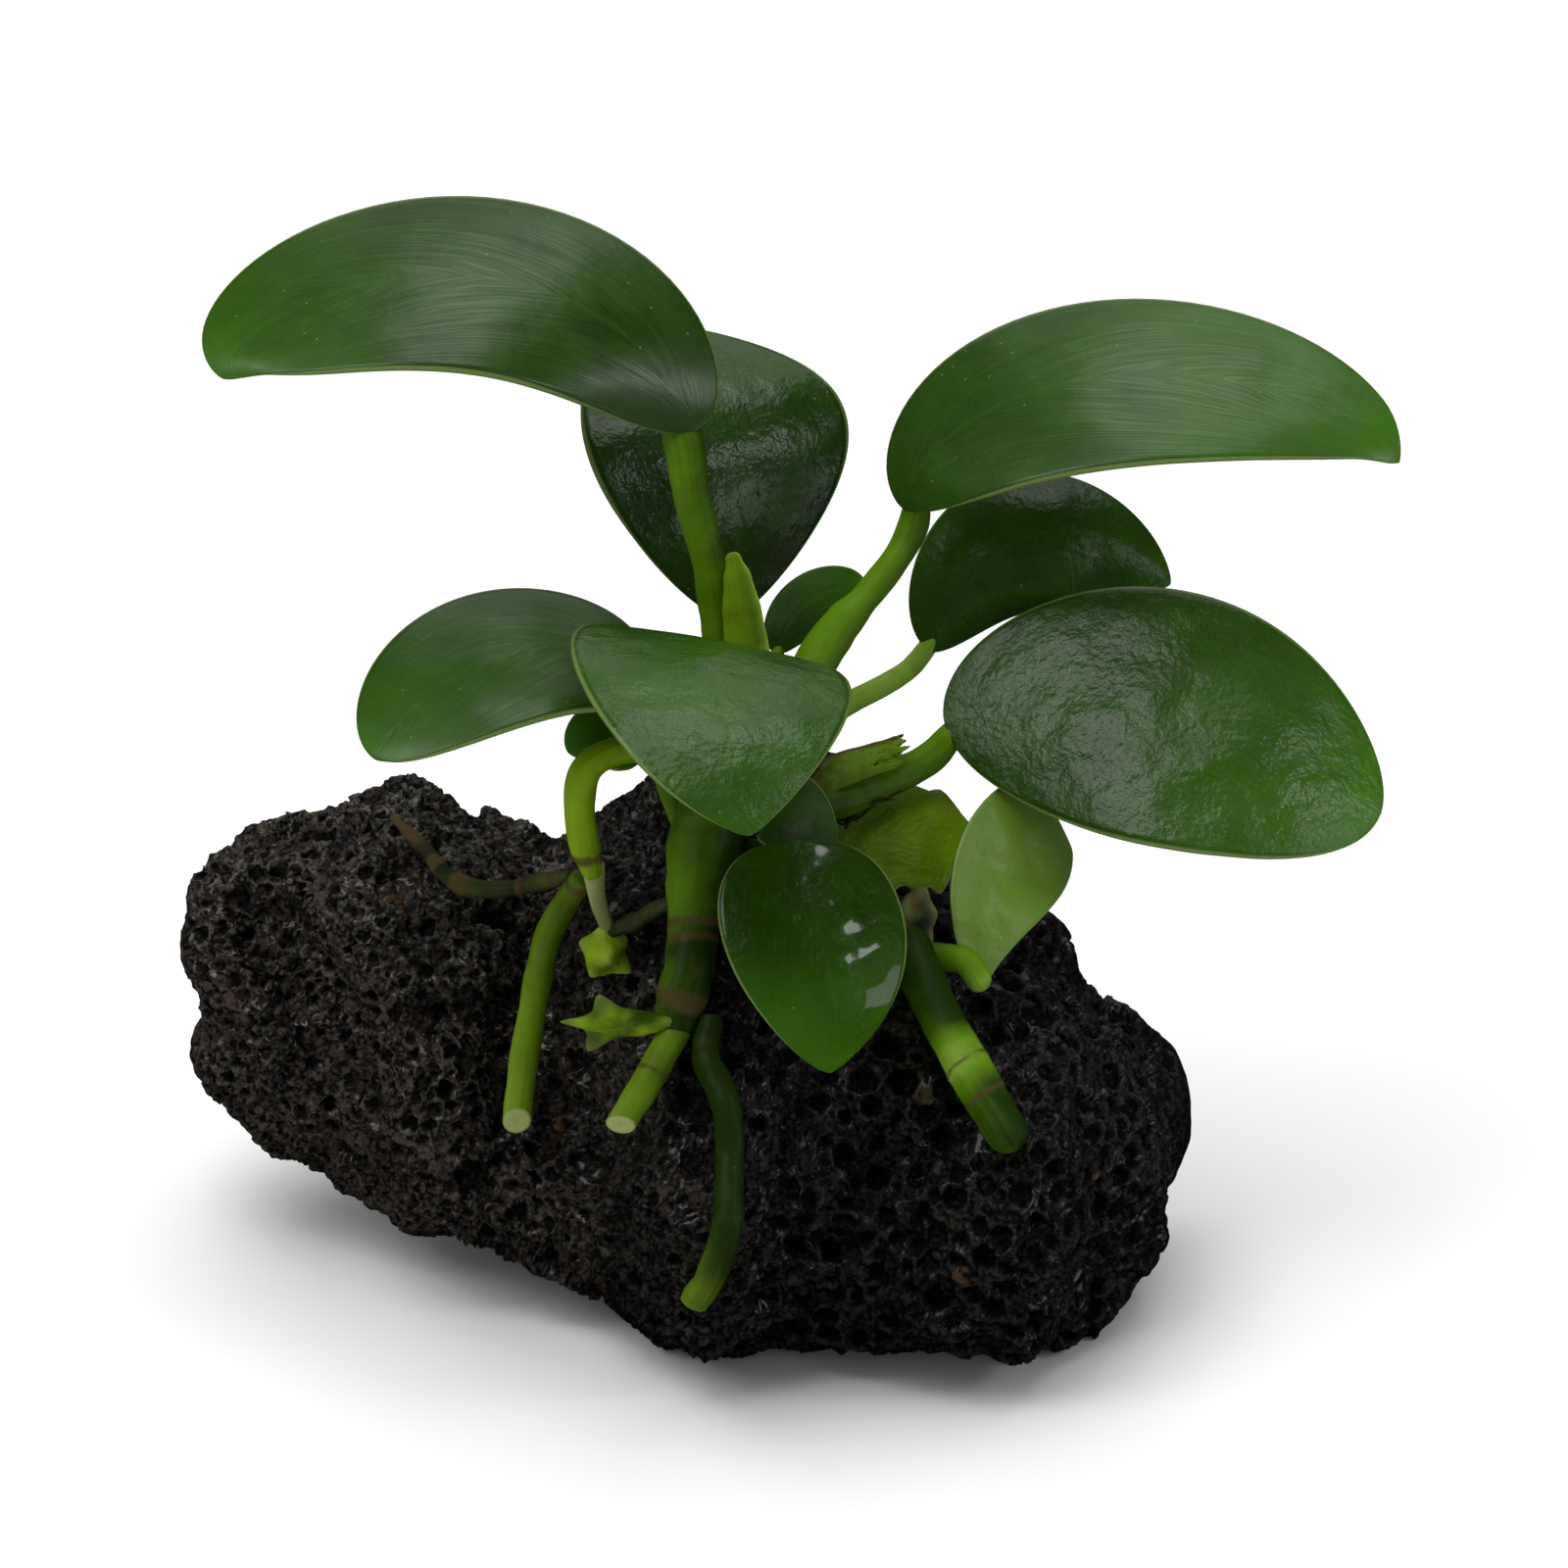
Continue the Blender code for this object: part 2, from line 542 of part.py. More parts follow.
def make_leaves(collection):
    for name, leaf in LEAVES.items():
        small = name in SMALL_LEAVES
        material = "leaf_young" if name in YOUNG_LEAVES else "leaf_green" if small else "leaf_dark"
        cells = SMALL_BLADE_CELLS if small else BLADE_CELLS
        make_blade(f"leaf_{name}", leaf, material, cells, collection)
        if name in STALKS:
            route, radii = STALKS[name]
            base, before = Vector(leaf.base), Vector(route[-1])
            end = base + (before - base).normalized() * 2.5 * GAP
            make_tube(f"stalk_{name}", [*route, end], radii, "stem_green", collection, steps=2)


def make_stems_and_roots(stone, collection):
    for name, tube in TUBES.items():
        route, radii = tube.route, tube.radii
        if tube.laid:
            route, radii = laid(route, radii, stone)
        make_tube(name, route, radii, tube.material, collection, steps=2)


def surface_of(piece):
    """A piece's surface in millimetres, to find the nearest point on."""
    mesh = piece.data
    return BVHTree.FromPolygons(
        [vertex.co / MM for vertex in mesh.vertices], [face.vertices for face in mesh.polygons]
    )


def main():
    clear_scene()
    make_materials()
    collection = bpy.data.collections.new("anubias_on_stone")
    bpy.context.scene.collection.children.link(collection)
    stone = surface_of(make_stone(collection))
    make_leaves(collection)
    make_stems_and_roots(stone, collection)
    make_blade("torn_sheath", TORN_SHEATH, "sheath_yellow", SHEATH_CELLS, collection)
    for name, bud in BUDS.items():
        make_bud(name, bud, "stem_light", collection)


main()
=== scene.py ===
"""Anubias on stone: the fine surfaces and finishes, the plain floor, the soft light and the camera.

Sizes and places are in millimetres until they reach Blender. X runs along the stone, Y to its back
and Z up, with the origin on the stone's foot.
"""

import math
import random
from collections import namedtuple
from contextlib import contextmanager

import bpy
import numpy as np
from mathutils import Matrix, Vector, kdtree, noise
from mathutils.bvhtree import BVHTree


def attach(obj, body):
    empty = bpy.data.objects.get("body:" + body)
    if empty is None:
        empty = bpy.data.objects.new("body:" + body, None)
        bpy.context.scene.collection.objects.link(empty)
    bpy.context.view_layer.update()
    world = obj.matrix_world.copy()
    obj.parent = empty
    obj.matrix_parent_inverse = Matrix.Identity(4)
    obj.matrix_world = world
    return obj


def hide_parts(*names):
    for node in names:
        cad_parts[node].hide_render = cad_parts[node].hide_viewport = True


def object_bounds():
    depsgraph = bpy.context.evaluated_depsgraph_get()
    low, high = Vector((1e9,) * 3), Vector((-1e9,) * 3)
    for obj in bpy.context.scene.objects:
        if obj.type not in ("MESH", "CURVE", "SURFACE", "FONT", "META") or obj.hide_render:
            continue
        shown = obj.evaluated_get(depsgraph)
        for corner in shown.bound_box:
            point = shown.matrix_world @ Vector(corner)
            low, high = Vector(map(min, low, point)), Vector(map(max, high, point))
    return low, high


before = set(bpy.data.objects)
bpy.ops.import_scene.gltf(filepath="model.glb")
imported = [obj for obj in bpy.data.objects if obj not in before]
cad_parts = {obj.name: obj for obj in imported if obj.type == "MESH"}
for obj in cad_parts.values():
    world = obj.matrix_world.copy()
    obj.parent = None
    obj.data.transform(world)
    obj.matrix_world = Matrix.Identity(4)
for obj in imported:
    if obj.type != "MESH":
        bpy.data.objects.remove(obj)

bl_info = {
    "name": "Anubias on stone",
    "version": (1, 0, 0),
    "blender": (4, 5, 0),
    "location": "View3D > Sidebar > Anubias",
    "description": "Builds a small rooted water plant on a porous black lava stone",
    "category": "Object",
}

MM = 0.001
# Points closer than this are one point.
DOUBLED = 0.002 * MM
MODEL_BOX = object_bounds()


def paint(red, green, blue):
    """A screen colour, 0 to 255 each, as the linear colour that shaders take."""
    values = []
    for level in (red, green, blue):
        c = level / 255
        values.append(c / 12.92 if c <= 0.04045 else ((c + 0.055) / 1.055) ** 2.4)
    return tuple(values)


def clamp(value, low=0.0, high=1.0):
    """The value held between low and high."""
    return min(max(value, low), high)


# ----------------------------------------------------------------------------------- the forms

# The stone's cross-sections from its left end to its right end: reach in Y, reach in Z and how far
# the upper half slopes back.
STONE_LEFT, STONE_RIGHT = -52.0, 50.0
STONE_SQUARENESS = 2.6
Section = namedtuple("Section", "x front back bottom top lean")
SECTIONS = [
    Section(-52.0, 9.0, 10.0, 29.0, 30.0, 0.0),
    Section(-50.5, 3.0, 14.5, 26.5, 35.0, 0.0),
    Section(-47.5, -2.0, 18.5, 17.0, 37.0, 0.5),
    Section(-42.0, -7.0, 23.0, 11.0, 40.5, 1.0),
    Section(-36.0, -8.5, 23.5, 7.0, 42.0, 2.0),
    Section(-28.0, -16.0, 22.0, 5.0, 45.5, 4.0),
    Section(-21.0, -18.0, 25.0, 6.0, 41.5, 3.0),
    Section(-14.0, -17.5, 27.5, 0.5, 36.5, 2.0),
    Section(-7.0, -27.5, 26.5, -0.5, 42.5, 6.0),
    Section(1.0, -38.0, 20.5, -1.0, 47.0, 12.0),
    Section(13.0, -31.5, 21.0, -1.0, 49.0, 13.0),
    Section(20.0, -31.5, 20.0, -1.0, 46.0, 11.0),
    Section(27.0, -34.5, 15.5, -1.0, 40.0, 9.0),
    Section(33.0, -36.0, 9.5, -1.0, 36.5, 7.0),
    Section(39.0, -26.5, 7.0, 0.0, 31.5, 5.0),
    Section(44.0, -17.5, 7.5, 3.5, 27.0, 3.0),
    Section(47.5, -7.0, 9.0, 8.0, 21.5, 1.0),
    Section(49.5, -2.5, 4.5, 13.0, 18.4, 0.0),
    Section(50.0, 0.5, 1.5, 15.5, 16.5, 0.0),
]
# The stone's grid, along and round it, and the pieces it is parted into.
STONE_GRID = (600, 420)
STONE_PIECES = 3
# The lumps: how wide and how high each layer of them is.
LUMPS = [(17.0, 1.6), (7.0, 0.9), (3.4, 0.4)]
# The scattered pits: how many, how wide, how near to the stone's ends they come (1 is the end
# itself) and how deep for each mm of width.
SMALL_PITS = 260
SMALL_PIT_WIDTHS = (2.2, 4.8)
SMALL_PIT_REACH = 0.9
PIT_DEPTH = 0.32
# The drawn pits are this much deeper than the solid's.
DRAWN_DEPTH = 1.2
# Where the random draws of the pits and of the pores start.
PIT_SEED = 12
PORE_SEED = 5
# The pores lie between these ends, at least this share of their widths apart, and their depth is a
# random share of their width between these two.
PORE_ENDS = (-50.0, 47.5)
PORE_SPACING = 0.46
PORE_DEPTHS = (0.38, 0.65)
# Pores look for their neighbours in cells this wide, a little more than the widest pore.
PORE_CELL = 3.6
# A hollow wider than this is a shallow bowl, and a narrower one has steep sides.
WIDE_PIT = 5.0
# A pore is painted wholly dark, as shade, from this depth on.
DARK_DEPTH = 0.85
# A pore's rim: its height for each mm of the pore's width, its greatest height, and where it stands
# and how far it spreads, in half widths. A rim of the height RIM or more is marked as whole.
RIM_SLOPE, RIM_LIMIT = 0.05, 0.10
RIM_PLACE, RIM_SPREAD = 1.07, 0.12
# The rim mark also paints a highlight on the stone's colour along each rim.
RIM = 0.08
# The skin's roughness on the bubbly right half, and how much is added on the dry left half. The one
# turns into the other from FROTH_START on, over FROTH_LENGTH.
ROUGH_RIGHT, ROUGH_ADDED = 0.14, 0.26
FROTH_START, FROTH_LENGTH = -8.0, 26.0
# The large hollows seen in the photo.
Hollow = namedtuple("Hollow", "place width depth")
HOLLOWS = [
    Hollow((-41.4, -3.0, 37.2), 10.0, 2.6),
    Hollow((-39.0, -5.9, 31.1), 6.0, 1.8),
    Hollow((-41.0, -6.6, 27.4), 5.5, 1.6),
    Hollow((-28.2, -4.6, 44.3), 6.0, 1.6),
    Hollow((-26.1, -10.1, 41.2), 5.5, 1.6),
    Hollow((-24.7, -12.2, 32.7), 6.0, 1.8),
    Hollow((-9.9, -21.2, 20.2), 6.5, 1.8),
    Hollow((29.3, -20.7, 34.9), 9.0, 2.0),
    Hollow((18.5, -29.2, 24.0), 9.0, 1.8),
    Hollow((33.8, -35.2, 19.3), 7.0, 2.2),
    Hollow((24.1, -34.4, 12.4), 6.5, 2.0),
    Hollow((-20.4, -12.6, 6.4), 6.0, 1.6),
    Hollow((-13.0, -17.8, 8.8), 6.0, 1.6),
    Hollow((14.7, -29.5, 16.7), 5.5, 1.6),
    Hollow((7.7, -34.0, 20.7), 5.0, 1.4),
    Hollow((8.6, -33.3, 25.1), 5.0, 1.4),
    Hollow((-34.6, 8.1, 43.6), 6.0, 1.6),
]

# A blade's midrib runs base, rise, droop, tip. turn and lift aim its face, twist winds it, fold
# raises both halves and cup bends them down, shoulder and point shape the outline, and lobe pulls
# the margin back past the base.
Leaf = namedtuple("Leaf", "base rise droop tip turn lift twist width fold cup shoulder point lobe")
LEAVES = {
    "upper_left": Leaf(
        (1.0, -6.0, 91.5), (-10.0, -0.5, 112.0), (-38.8, -3.5, 105.5), (-43.5, -11.0, 99.3),
        1, 67, 14, 23.5, 9, 17, 0.55, 0.64, 0.0,
    ),
    "upper_right": Leaf(
        (20.5, 2.0, 80.0), (28.0, 4.5, 93.0), (54.0, 7.0, 92.5), (68.3, -1.5, 87.2),
        0, 66, 5, 22.8, 20, 15, 0.65, 0.76, 0.0,
    ),
    "back": Leaf(
        (4.0, 5.0, 67.0), (4.0, 6.0, 85.5), (3.5, 6.5, 86.5), (-6.0, 22.5, 91.0),
        31, 28, 1, 28.5, 15, 21, 0.7, 0.65, 0.0,
    ),
    "mid_right": Leaf(
        (23.5, 5.0, 63.5), (29.0, 3.0, 80.0), (38.5, 7.5, 78.0), (46.5, 7.0, 70.5),
        12, 40, -12, 16.5, -4, 41, 0.5, 0.6, 0.0,
    ),
    "lower_right": Leaf(
        (24.5, -2.5, 60.0), (41.5, -7.5, 66.5), (52.0, -12.5, 64.5), (66.5, -11.5, 54.0),
        -11, 49, -23, 27.0, 8, 25, 0.5, 0.5, 0.0,
    ),
    "centre": Leaf(
        (1.0, -15.0, 73.2), (2.5, -28.0, 76.3), (4.0, -39.5, 75.0), (6.0, -44.0, 67.3),
        22, 60, 6, 26.5, 13, 21, 0.3, 0.7, 0.1,
    ),
    "left": Leaf(
        (-4.0, -8.5, 66.0), (-11.5, -11.0, 74.5), (-23.0, -20.5, 73.0), (-29.0, -27.5, 67.0),
        -25, 62, -3, 20.0, 14, 19, 0.5, 0.6, 0.0,
    ),
    "front": Leaf(
        (10.5, -24.0, 57.0), (11.0, -27.0, 52.0), (15.5, -37.0, 47.5), (13.5, -31.5, 36.5),
        20, 30, 1, 18.5, 1, 22, 0.35, 0.6, 0.0,
    ),
    "front_small": Leaf(
        (6.5, -18.5, 58.5), (8.0, -19.0, 59.5), (11.0, -20.0, 57.5), (13.5, -20.5, 53.0),
        20, 45, 0, 8.5, 10, 20, 0.5, 0.6, 0.0,
    ),
    "left_small": Leaf(
        (-3.5, -12.0, 61.5), (-5.5, -12.5, 63.0), (-9.0, -13.5, 64.0), (-11.5, -14.0, 61.5),
        -13, 42, 0, 7.5, 14, 20, 0.5, 0.6, 0.0,
    ),
    "yellow": Leaf(
        (13.0, -11.0, 48.0), (18.0, -8.5, 49.5), (23.5, -7.0, 49.5), (27.5, -5.5, 48.0),
        0, 50, 0, 11.0, 20, 18, 0.5, 0.5, 0.0,
    ),
    "light": Leaf(
        (28.2, -20.5, 39.5), (27.5, -19.0, 46.0), (31.0, -11.5, 50.5), (36.0, -5.0, 51.5),
        15, 22, 0, 12.0, 12, 30, 1.0, 0.4, 0.0,
    ),
    "top_small": Leaf(
        (8.5, -2.0, 66.5), (9.0, 0.0, 70.0), (13.0, 2.5, 72.0), (17.0, 4.5, 71.0),
        0, 30, 0, 5.5, 12, 20, 0.5, 0.5, 0.0,
    ),
}

# How far the middle of a blade stays above its margins, for each mm of half its width.
BLADE_CROWN = 0.08
# How far a drawn blade lies below the solid's face.
BLADE_SINK = 0.03
# The height and the closeness of each layer of a blade's soft waves, and of its crinkles.
WAVES = [(0.30, 0.16), (0.16, 0.34)]
CRINKLES = (0.05, 0.8)
# The midrib: how deep and wide its groove is, and how high and wide the swelling beside it, the
# widths as shares of half the blade's.
RIB_GROOVE, RIB_SWELLING = (0.08, 0.035), (0.05, 0.12)
# Where along the midrib the drawn-out point starts.
POINT_START = 0.92
# Where along the midrib the blade turns paler, over which length and by how much.
PALE_START, PALE_LENGTH, PALER = 0.90, 0.06, 0.25

# How each blade is drawn: its finish and slot, how light it is from its base to its tip (0 to 1),
# how much it curls and crinkles, how far its point is drawn out, how ragged its edge is, and its
# grid, along and across. The lightness is partly the blade's own colour and partly painted shade,
# lowest on blades that lie under others, such as the back one.
GRID, SMALL_GRID = (60, 28), (36, 18)
Look = namedtuple(
    "Look", "finish slot base tip curl crinkle drawn ragged grid",
    defaults=(1.0, 1.0, (0.0, 0.0, 0.0), 0.0, GRID),
)
LOOKS = {
    "upper_left": Look("smooth leaf", "leaf_dark", 0.12, 0.48, curl=0.5, drawn=(0.2, 0.0, -0.7)),
    "upper_right": Look("smooth leaf", "leaf_dark", 0.24, 0.64, curl=0.5, drawn=(-0.5, -0.2, -0.9)),
    "back": Look("leathery leaf", "leaf_dark", 0.04, 0.24, crinkle=2.5),
    "mid_right": Look("leathery leaf", "leaf_dark", 0.22, 0.36, drawn=(0.3, 0.0, -0.6)),
    "lower_right": Look("leathery leaf", "leaf_dark", 0.20, 0.60, curl=1.3, crinkle=1.6),
    "centre": Look("leathery leaf", "leaf_dark", 0.36, 0.36, drawn=(0.0, 0.0, -0.3)),
    "left": Look("smooth leaf", "leaf_dark", 0.32, 0.36, curl=0.6),
    "front": Look(
        "glossy leaf", "leaf_dark", 0.08, 0.68, curl=1.7, crinkle=2.0, drawn=(0.0, 0.0, -0.3)
    ),
    "front_small": Look("small leaf", "leaf_green", 0.10, 0.22, grid=SMALL_GRID),
    "left_small": Look("small leaf", "leaf_green", 1.00, 1.00, grid=SMALL_GRID),
    "top_small": Look("small leaf", "leaf_green", 0.12, 0.50, grid=SMALL_GRID),
    "yellow": Look(
        "yellow leaf", "leaf_young", 0.25, 1.00, curl=4.0, crinkle=8.0, ragged=0.22, grid=SMALL_GRID
    ),
    "light": Look(
        "young leaf", "leaf_young", 0.45, 0.28, curl=2.5, crinkle=3.0, drawn=(-0.4, 0.0, -1.0),
        grid=SMALL_GRID,
    ),
}

# Each stalk runs from the crown with a radius at each point, and a seated one on to its blade,
# which it meets from behind. tones is how light it is along its way: partly its own colour and
# partly painted light and shade.
Stalk = namedtuple("Stalk", "route radii tones grooved seated", defaults=((0.6,), False, True))
STALKS = {
    "upper_left": Stalk(
        [(3.6, -12.6, 63.8), (3.0, -9.8, 71.0), (1.9, -8.4, 79.0), (0.3, -7.0, 85.4),
         (-0.3, -5.4, 89.2)],
        [1.7, 1.7, 1.6, 1.8, 1.95], (0.35, 0.45, 0.55, 0.55, 0.5), grooved=True,
    ),
    "upper_right": Stalk(
        [(8.6, -11.9, 62.9), (12.9, -5.0, 68.3), (14.9, -3.0, 70.4), (16.9, -1.2, 72.0),
         (19.9, 1.0, 75.2), (21.6, 3.2, 77.8)],
        [1.8, 2.1, 1.9, 1.4, 1.4, 1.5], (0.5, 0.75, 0.65, 0.65), grooved=True,
    ),
    "back": Stalk([(4.5, -9.2, 62.6), (4.5, -3.0, 64.0), (4.2, 1.5, 65.5)], [1.3, 1.3, 1.2]),
    "mid_right": Stalk(
        [(7.6, -11.2, 59.6), (15.8, 0.4, 60.4), (19.1, 3.0, 61.1), (21.6, 5.4, 61.9)],
        [1.2, 1.1, 1.05, 1.05], (0.9, 1.6, 1.8, 1.5), grooved=True,
    ),
    "lower_right": Stalk(
        [(7.6, -14.9, 56.0), (14.5, -10.0, 54.9), (19.6, -6.8, 55.6), (23.2, -4.6, 56.6),
         (25.2, -2.6, 57.9)],
        [1.8, 1.95, 1.8, 1.55, 1.4], (0.25, 0.4, 0.6, 0.7), grooved=True,
    ),
    "centre": Stalk([(3.8, -15.9, 65.7), (1.6, -17.0, 69.0)], [1.1, 1.3]),
    "left": Stalk(
        [(-0.6, -18.0, 55.6), (-2.0, -16.4, 59.0), (-3.2, -13.5, 62.5)], [0.9, 1.0, 1.0],
        (0.45, 0.5, 0.7),
    ),
    "left_small": Stalk([(-1.2, -14.2, 58.6), (-2.4, -12.4, 60.8)], [0.8, 0.8], (0.9,)),
    "front": Stalk(
        [(6.5, -19.5, 53.0), (8.4, -21.4, 53.8), (10.2, -23.6, 53.6)], [1.2, 1.1, 0.9], seated=False
    ),
    "front_small": Stalk([(8.6, -15.8, 58.2), (8.8, -17.2, 59.5)], [0.8, 0.8]),
    "yellow": Stalk([(5.9, -16.8, 52.8), (9.5, -13.2, 50.5), (11.3, -11.6, 49.2)], [0.9, 0.9, 0.9]),
    "light": Stalk(
        [(21.6, -17.4, 41.9), (24.1, -18.6, 42.1), (26.4, -19.6, 42.1), (27.8, -20.3, 40.4)],
        [1.3, 1.3, 1.35, 1.2], (0.1, 0.35, 1.5), seated=False,
    ),
    "top_small": Stalk([(6.7, -11.0, 62.9), (7.6, -7.5, 64.4), (8.1, -4.5, 65.6)], [0.8, 0.8, 0.8]),
}
# How far a stalk starts inside the crown.
ROOTED = 1.2
# Where along the midrib a seated stalk ends, how much narrower it is there, and how far behind the
# blade its middle stays, in radii.
SEAT = 0.055
SEAT_NARROWING = 0.75
SEAT_DEPTH = 1.2
# A grooved stalk's channel: its depth as a share of the radius, the way it faces round the stalk
# and how wide it is, in radians.
GROOVE = 0.20
GROOVE_ANGLE, GROOVE_SPREAD = 1.62 * math.pi, 0.22

# The stems and roots. tones is how light each is along its way: partly its own colour and partly
# painted shade. A scar is how far along it is, its width and how far it stands out. cut is the
# slope of a cut end, a laid one is held clear of the stone, and back is how far one starts inside
# the piece it grows from.
Tube = namedtuple(
    "Tube", "finish slot route radii tones scars cut laid back flat knobs pale_edge",
    defaults=((), None, False, 0.0, 0.0, 1.0, 0.0),
)
TUBES = {
    "rhizome": Tube(
        "stalk", "stem_green",
        [(4.8, -13.0, 63.0), (4.4, -14.2, 60.5), (3.2, -16.3, 57.8), (1.8, -19.0, 55.0),
         (1.0, -21.5, 51.5), (0.5, -23.5, 47.8), (0.2, -26.0, 44.9), (-0.5, -27.5, 42.5),
         (-1.1, -28.6, 40.4)],
        [3.0, 3.9, 3.9, 3.7, 3.1, 2.5, 2.4, 2.4, 2.1],
        (0.25, 0.27, 0.24, 0.18, 0.25, 0.42, 0.25, -0.10, 0.15, 0.10),
        [(0.67, 0.8, 0.05), (0.73, 0.6, 0.02), (0.93, 1.4, 0.06)], knobs=1.6,
    ),
    "rhizome_right": Tube(
        "stalk", "stem_green",
        [(16.0, -18.0, 47.5), (20.5, -17.5, 43.5), (23.6, -24.0, 38.9), (27.2, -29.0, 34.0),
         (30.2, -32.0, 29.6)],
        [1.8, 2.1, 2.1, 2.2, 2.1],
        (0.1, -0.1, -0.2, -0.2, -0.2, -0.1, -0.1, 0.1, 1.25, 1.40, 0.25, 0.05, 0.0),
        [(0.0, 3.5, 0.0), (0.14, 1.8, 0.04), (0.73, 0.3, 0.05), (0.85, 0.35, 0.03)], laid=True,
    ),
    "side_shoot": Tube(
        "shoot", "stem_light",
        [(0.0, -16.9, 61.1), (-4.8, -17.4, 63.4), (-7.6, -18.0, 63.2), (-9.6, -18.6, 61.9),
         (-10.3, -19.0, 58.5), (-9.9, -19.0, 54.5), (-9.2, -19.0, 51.6)],
        [1.2, 1.3, 1.4, 1.5, 1.5, 1.5, 1.1],
        (0.45, 0.45, 0.6, 0.8, 0.85, 0.7, 0.6), [(0.93, 0.8, 0.08)],
    ),
    "sheath_centre": Tube(
        "sheath", "sheath_yellow",
        [(6.4, -13.4, 64.2), (5.6, -12.0, 71.0), (5.1, -11.2, 75.0), (4.7, -10.7, 78.2),
         (4.3, -10.5, 80.1)],
        [1.2, 2.2, 1.9, 1.35, 0.75],
        (0.5, 0.5, 0.55, 0.8), flat=0.5, pale_edge=1.6,
    ),
    "root_left": Tube(
        "root", "root_green",
        [(-10.4, -17.2, 49.4), (-13.4, -15.5, 43.2), (-14.6, -15.0, 38.0), (-15.5, -16.0, 33.3),
         (-16.2, -18.0, 29.5), (-16.7, -20.5, 25.4)],
        [1.2, 1.4, 1.4, 1.4, 1.4, 1.4],
        (0.4, 0.45, 0.65, 0.95, 1.05, 1.1), [(0.03, 0.6, 0.0)], (-0.1, 0.9, -0.1),
        back=0.4, knobs=1.6,
    ),
    "root_brown": Tube(
        "brown root", "root_brown",
        [(-11.5, -13.0, 48.0), (-14.5, -9.5, 45.5), (-18.0, -8.0, 44.0), (-21.5, -7.0, 43.6),
         (-23.5, -6.5, 44.6), (-26.0, -4.0, 46.6), (-29.0, -1.0, 48.4)],
        [0.6, 0.8, 0.9, 0.9, 0.8, 0.7, 0.4],
        (0.35, 0.3, 0.1, 0.25, -0.1, -0.4, -0.4),
        [(0.10, 0.8, 0.12), (0.30, 0.5, 0.10), (0.56, 1.3, 0.12), (0.70, 1.0, 0.06), (1.0, 6.0, 0.0)],
        laid=True, knobs=5.0,
    ),
    "root_front": Tube(
        "root", "root_green",
        [(2.0, -29.0, 38.4), (1.8, -30.0, 36.5), (3.5, -33.5, 34.0), (4.0, -36.0, 29.0),
         (3.8, -40.0, 24.5), (2.4, -40.0, 19.0), (0.6, -38.5, 15.0)],
        [1.2, 1.4, 1.5, 1.5, 1.5, 1.5, 1.4],
        (-0.5, -0.8, -0.8, -0.7, -0.3, 0.3, 0.7), cut=(0.0, 0.5, 0.0), laid=True, back=1.8,
        knobs=3.0,
    ),
    "cut_stub": Tube(
        "root", "root_green", [(-1.6, -29.8, 39.0), (-4.0, -33.0, 35.8), (-6.3, -35.0, 32.6)],
        [1.5, 1.5, 1.4],
        (0.7, 0.9, 0.6, 0.95, 1.0), [(0.50, 0.35, 0.02)], (-0.1, 0.7, 0.0), back=1.6, knobs=1.6,
    ),
    "bud_stalk": Tube(
        "dry bract", "stem_light", [(-9.0, -18.9, 51.2), (-8.7, -18.7, 48.4), (-7.8, -18.3, 45.0)],
        [1.15, 0.85, 0.7], (1.5, 1.1, 0.9), back=0.8, flat=0.4,
    ),
    "bud_root": Tube(
        "brown root", "root_brown",
        [(-7.0, -18.4, 44.9), (-4.9, -19.3, 46.3), (-3.2, -20.6, 48.0), (-1.9, -21.8, 49.2)],
        [0.6, 0.9, 1.0, 0.8], (0.0,), back=0.6, knobs=5.0,
    ),
}
# A stem with a larger radius than this has more points round it.
THICK_STEM = 2.0
THICK_ROUND, THIN_ROUND = 28, 18
# A laid stem has a point every LAID_STEP. Each is moved towards the viewer and up, a LAID_RISE at a
# time, until the stem's skin is three gaps clear of the stone.
LAID_STEP = 4.0
LAID_WAY = Vector((0.0, -0.8, 0.6))
LAID_RISE = 0.1
GAP = 0.4

# The stone's stains: rusty grains, and yellowish films of algae.
Stain = namedtuple("Stain", "place radius")
RUST_STAINS = [
    Stain((-36.4, -3.4, 41.1), 1.3), Stain((-28.3, -6.3, 42.5), 1.5),
    Stain((-13.3, -15.9, 21.7), 2.0), Stain((-18.1, -11.8, 30.9), 1.0),
    Stain((26.0, -35.2, 16.5), 1.5), Stain((39.3, -25.1, 21.8), 0.9),
]
ALGAE_STAINS = [
    Stain((20.4, -22.4, 36.8), 2.0), Stain((22.2, -27.9, 31.7), 2.4),
    Stain((-32.6, -7.7, 14.7), 3.0), Stain((21.5, -25.0, 34.5), 1.6),
]

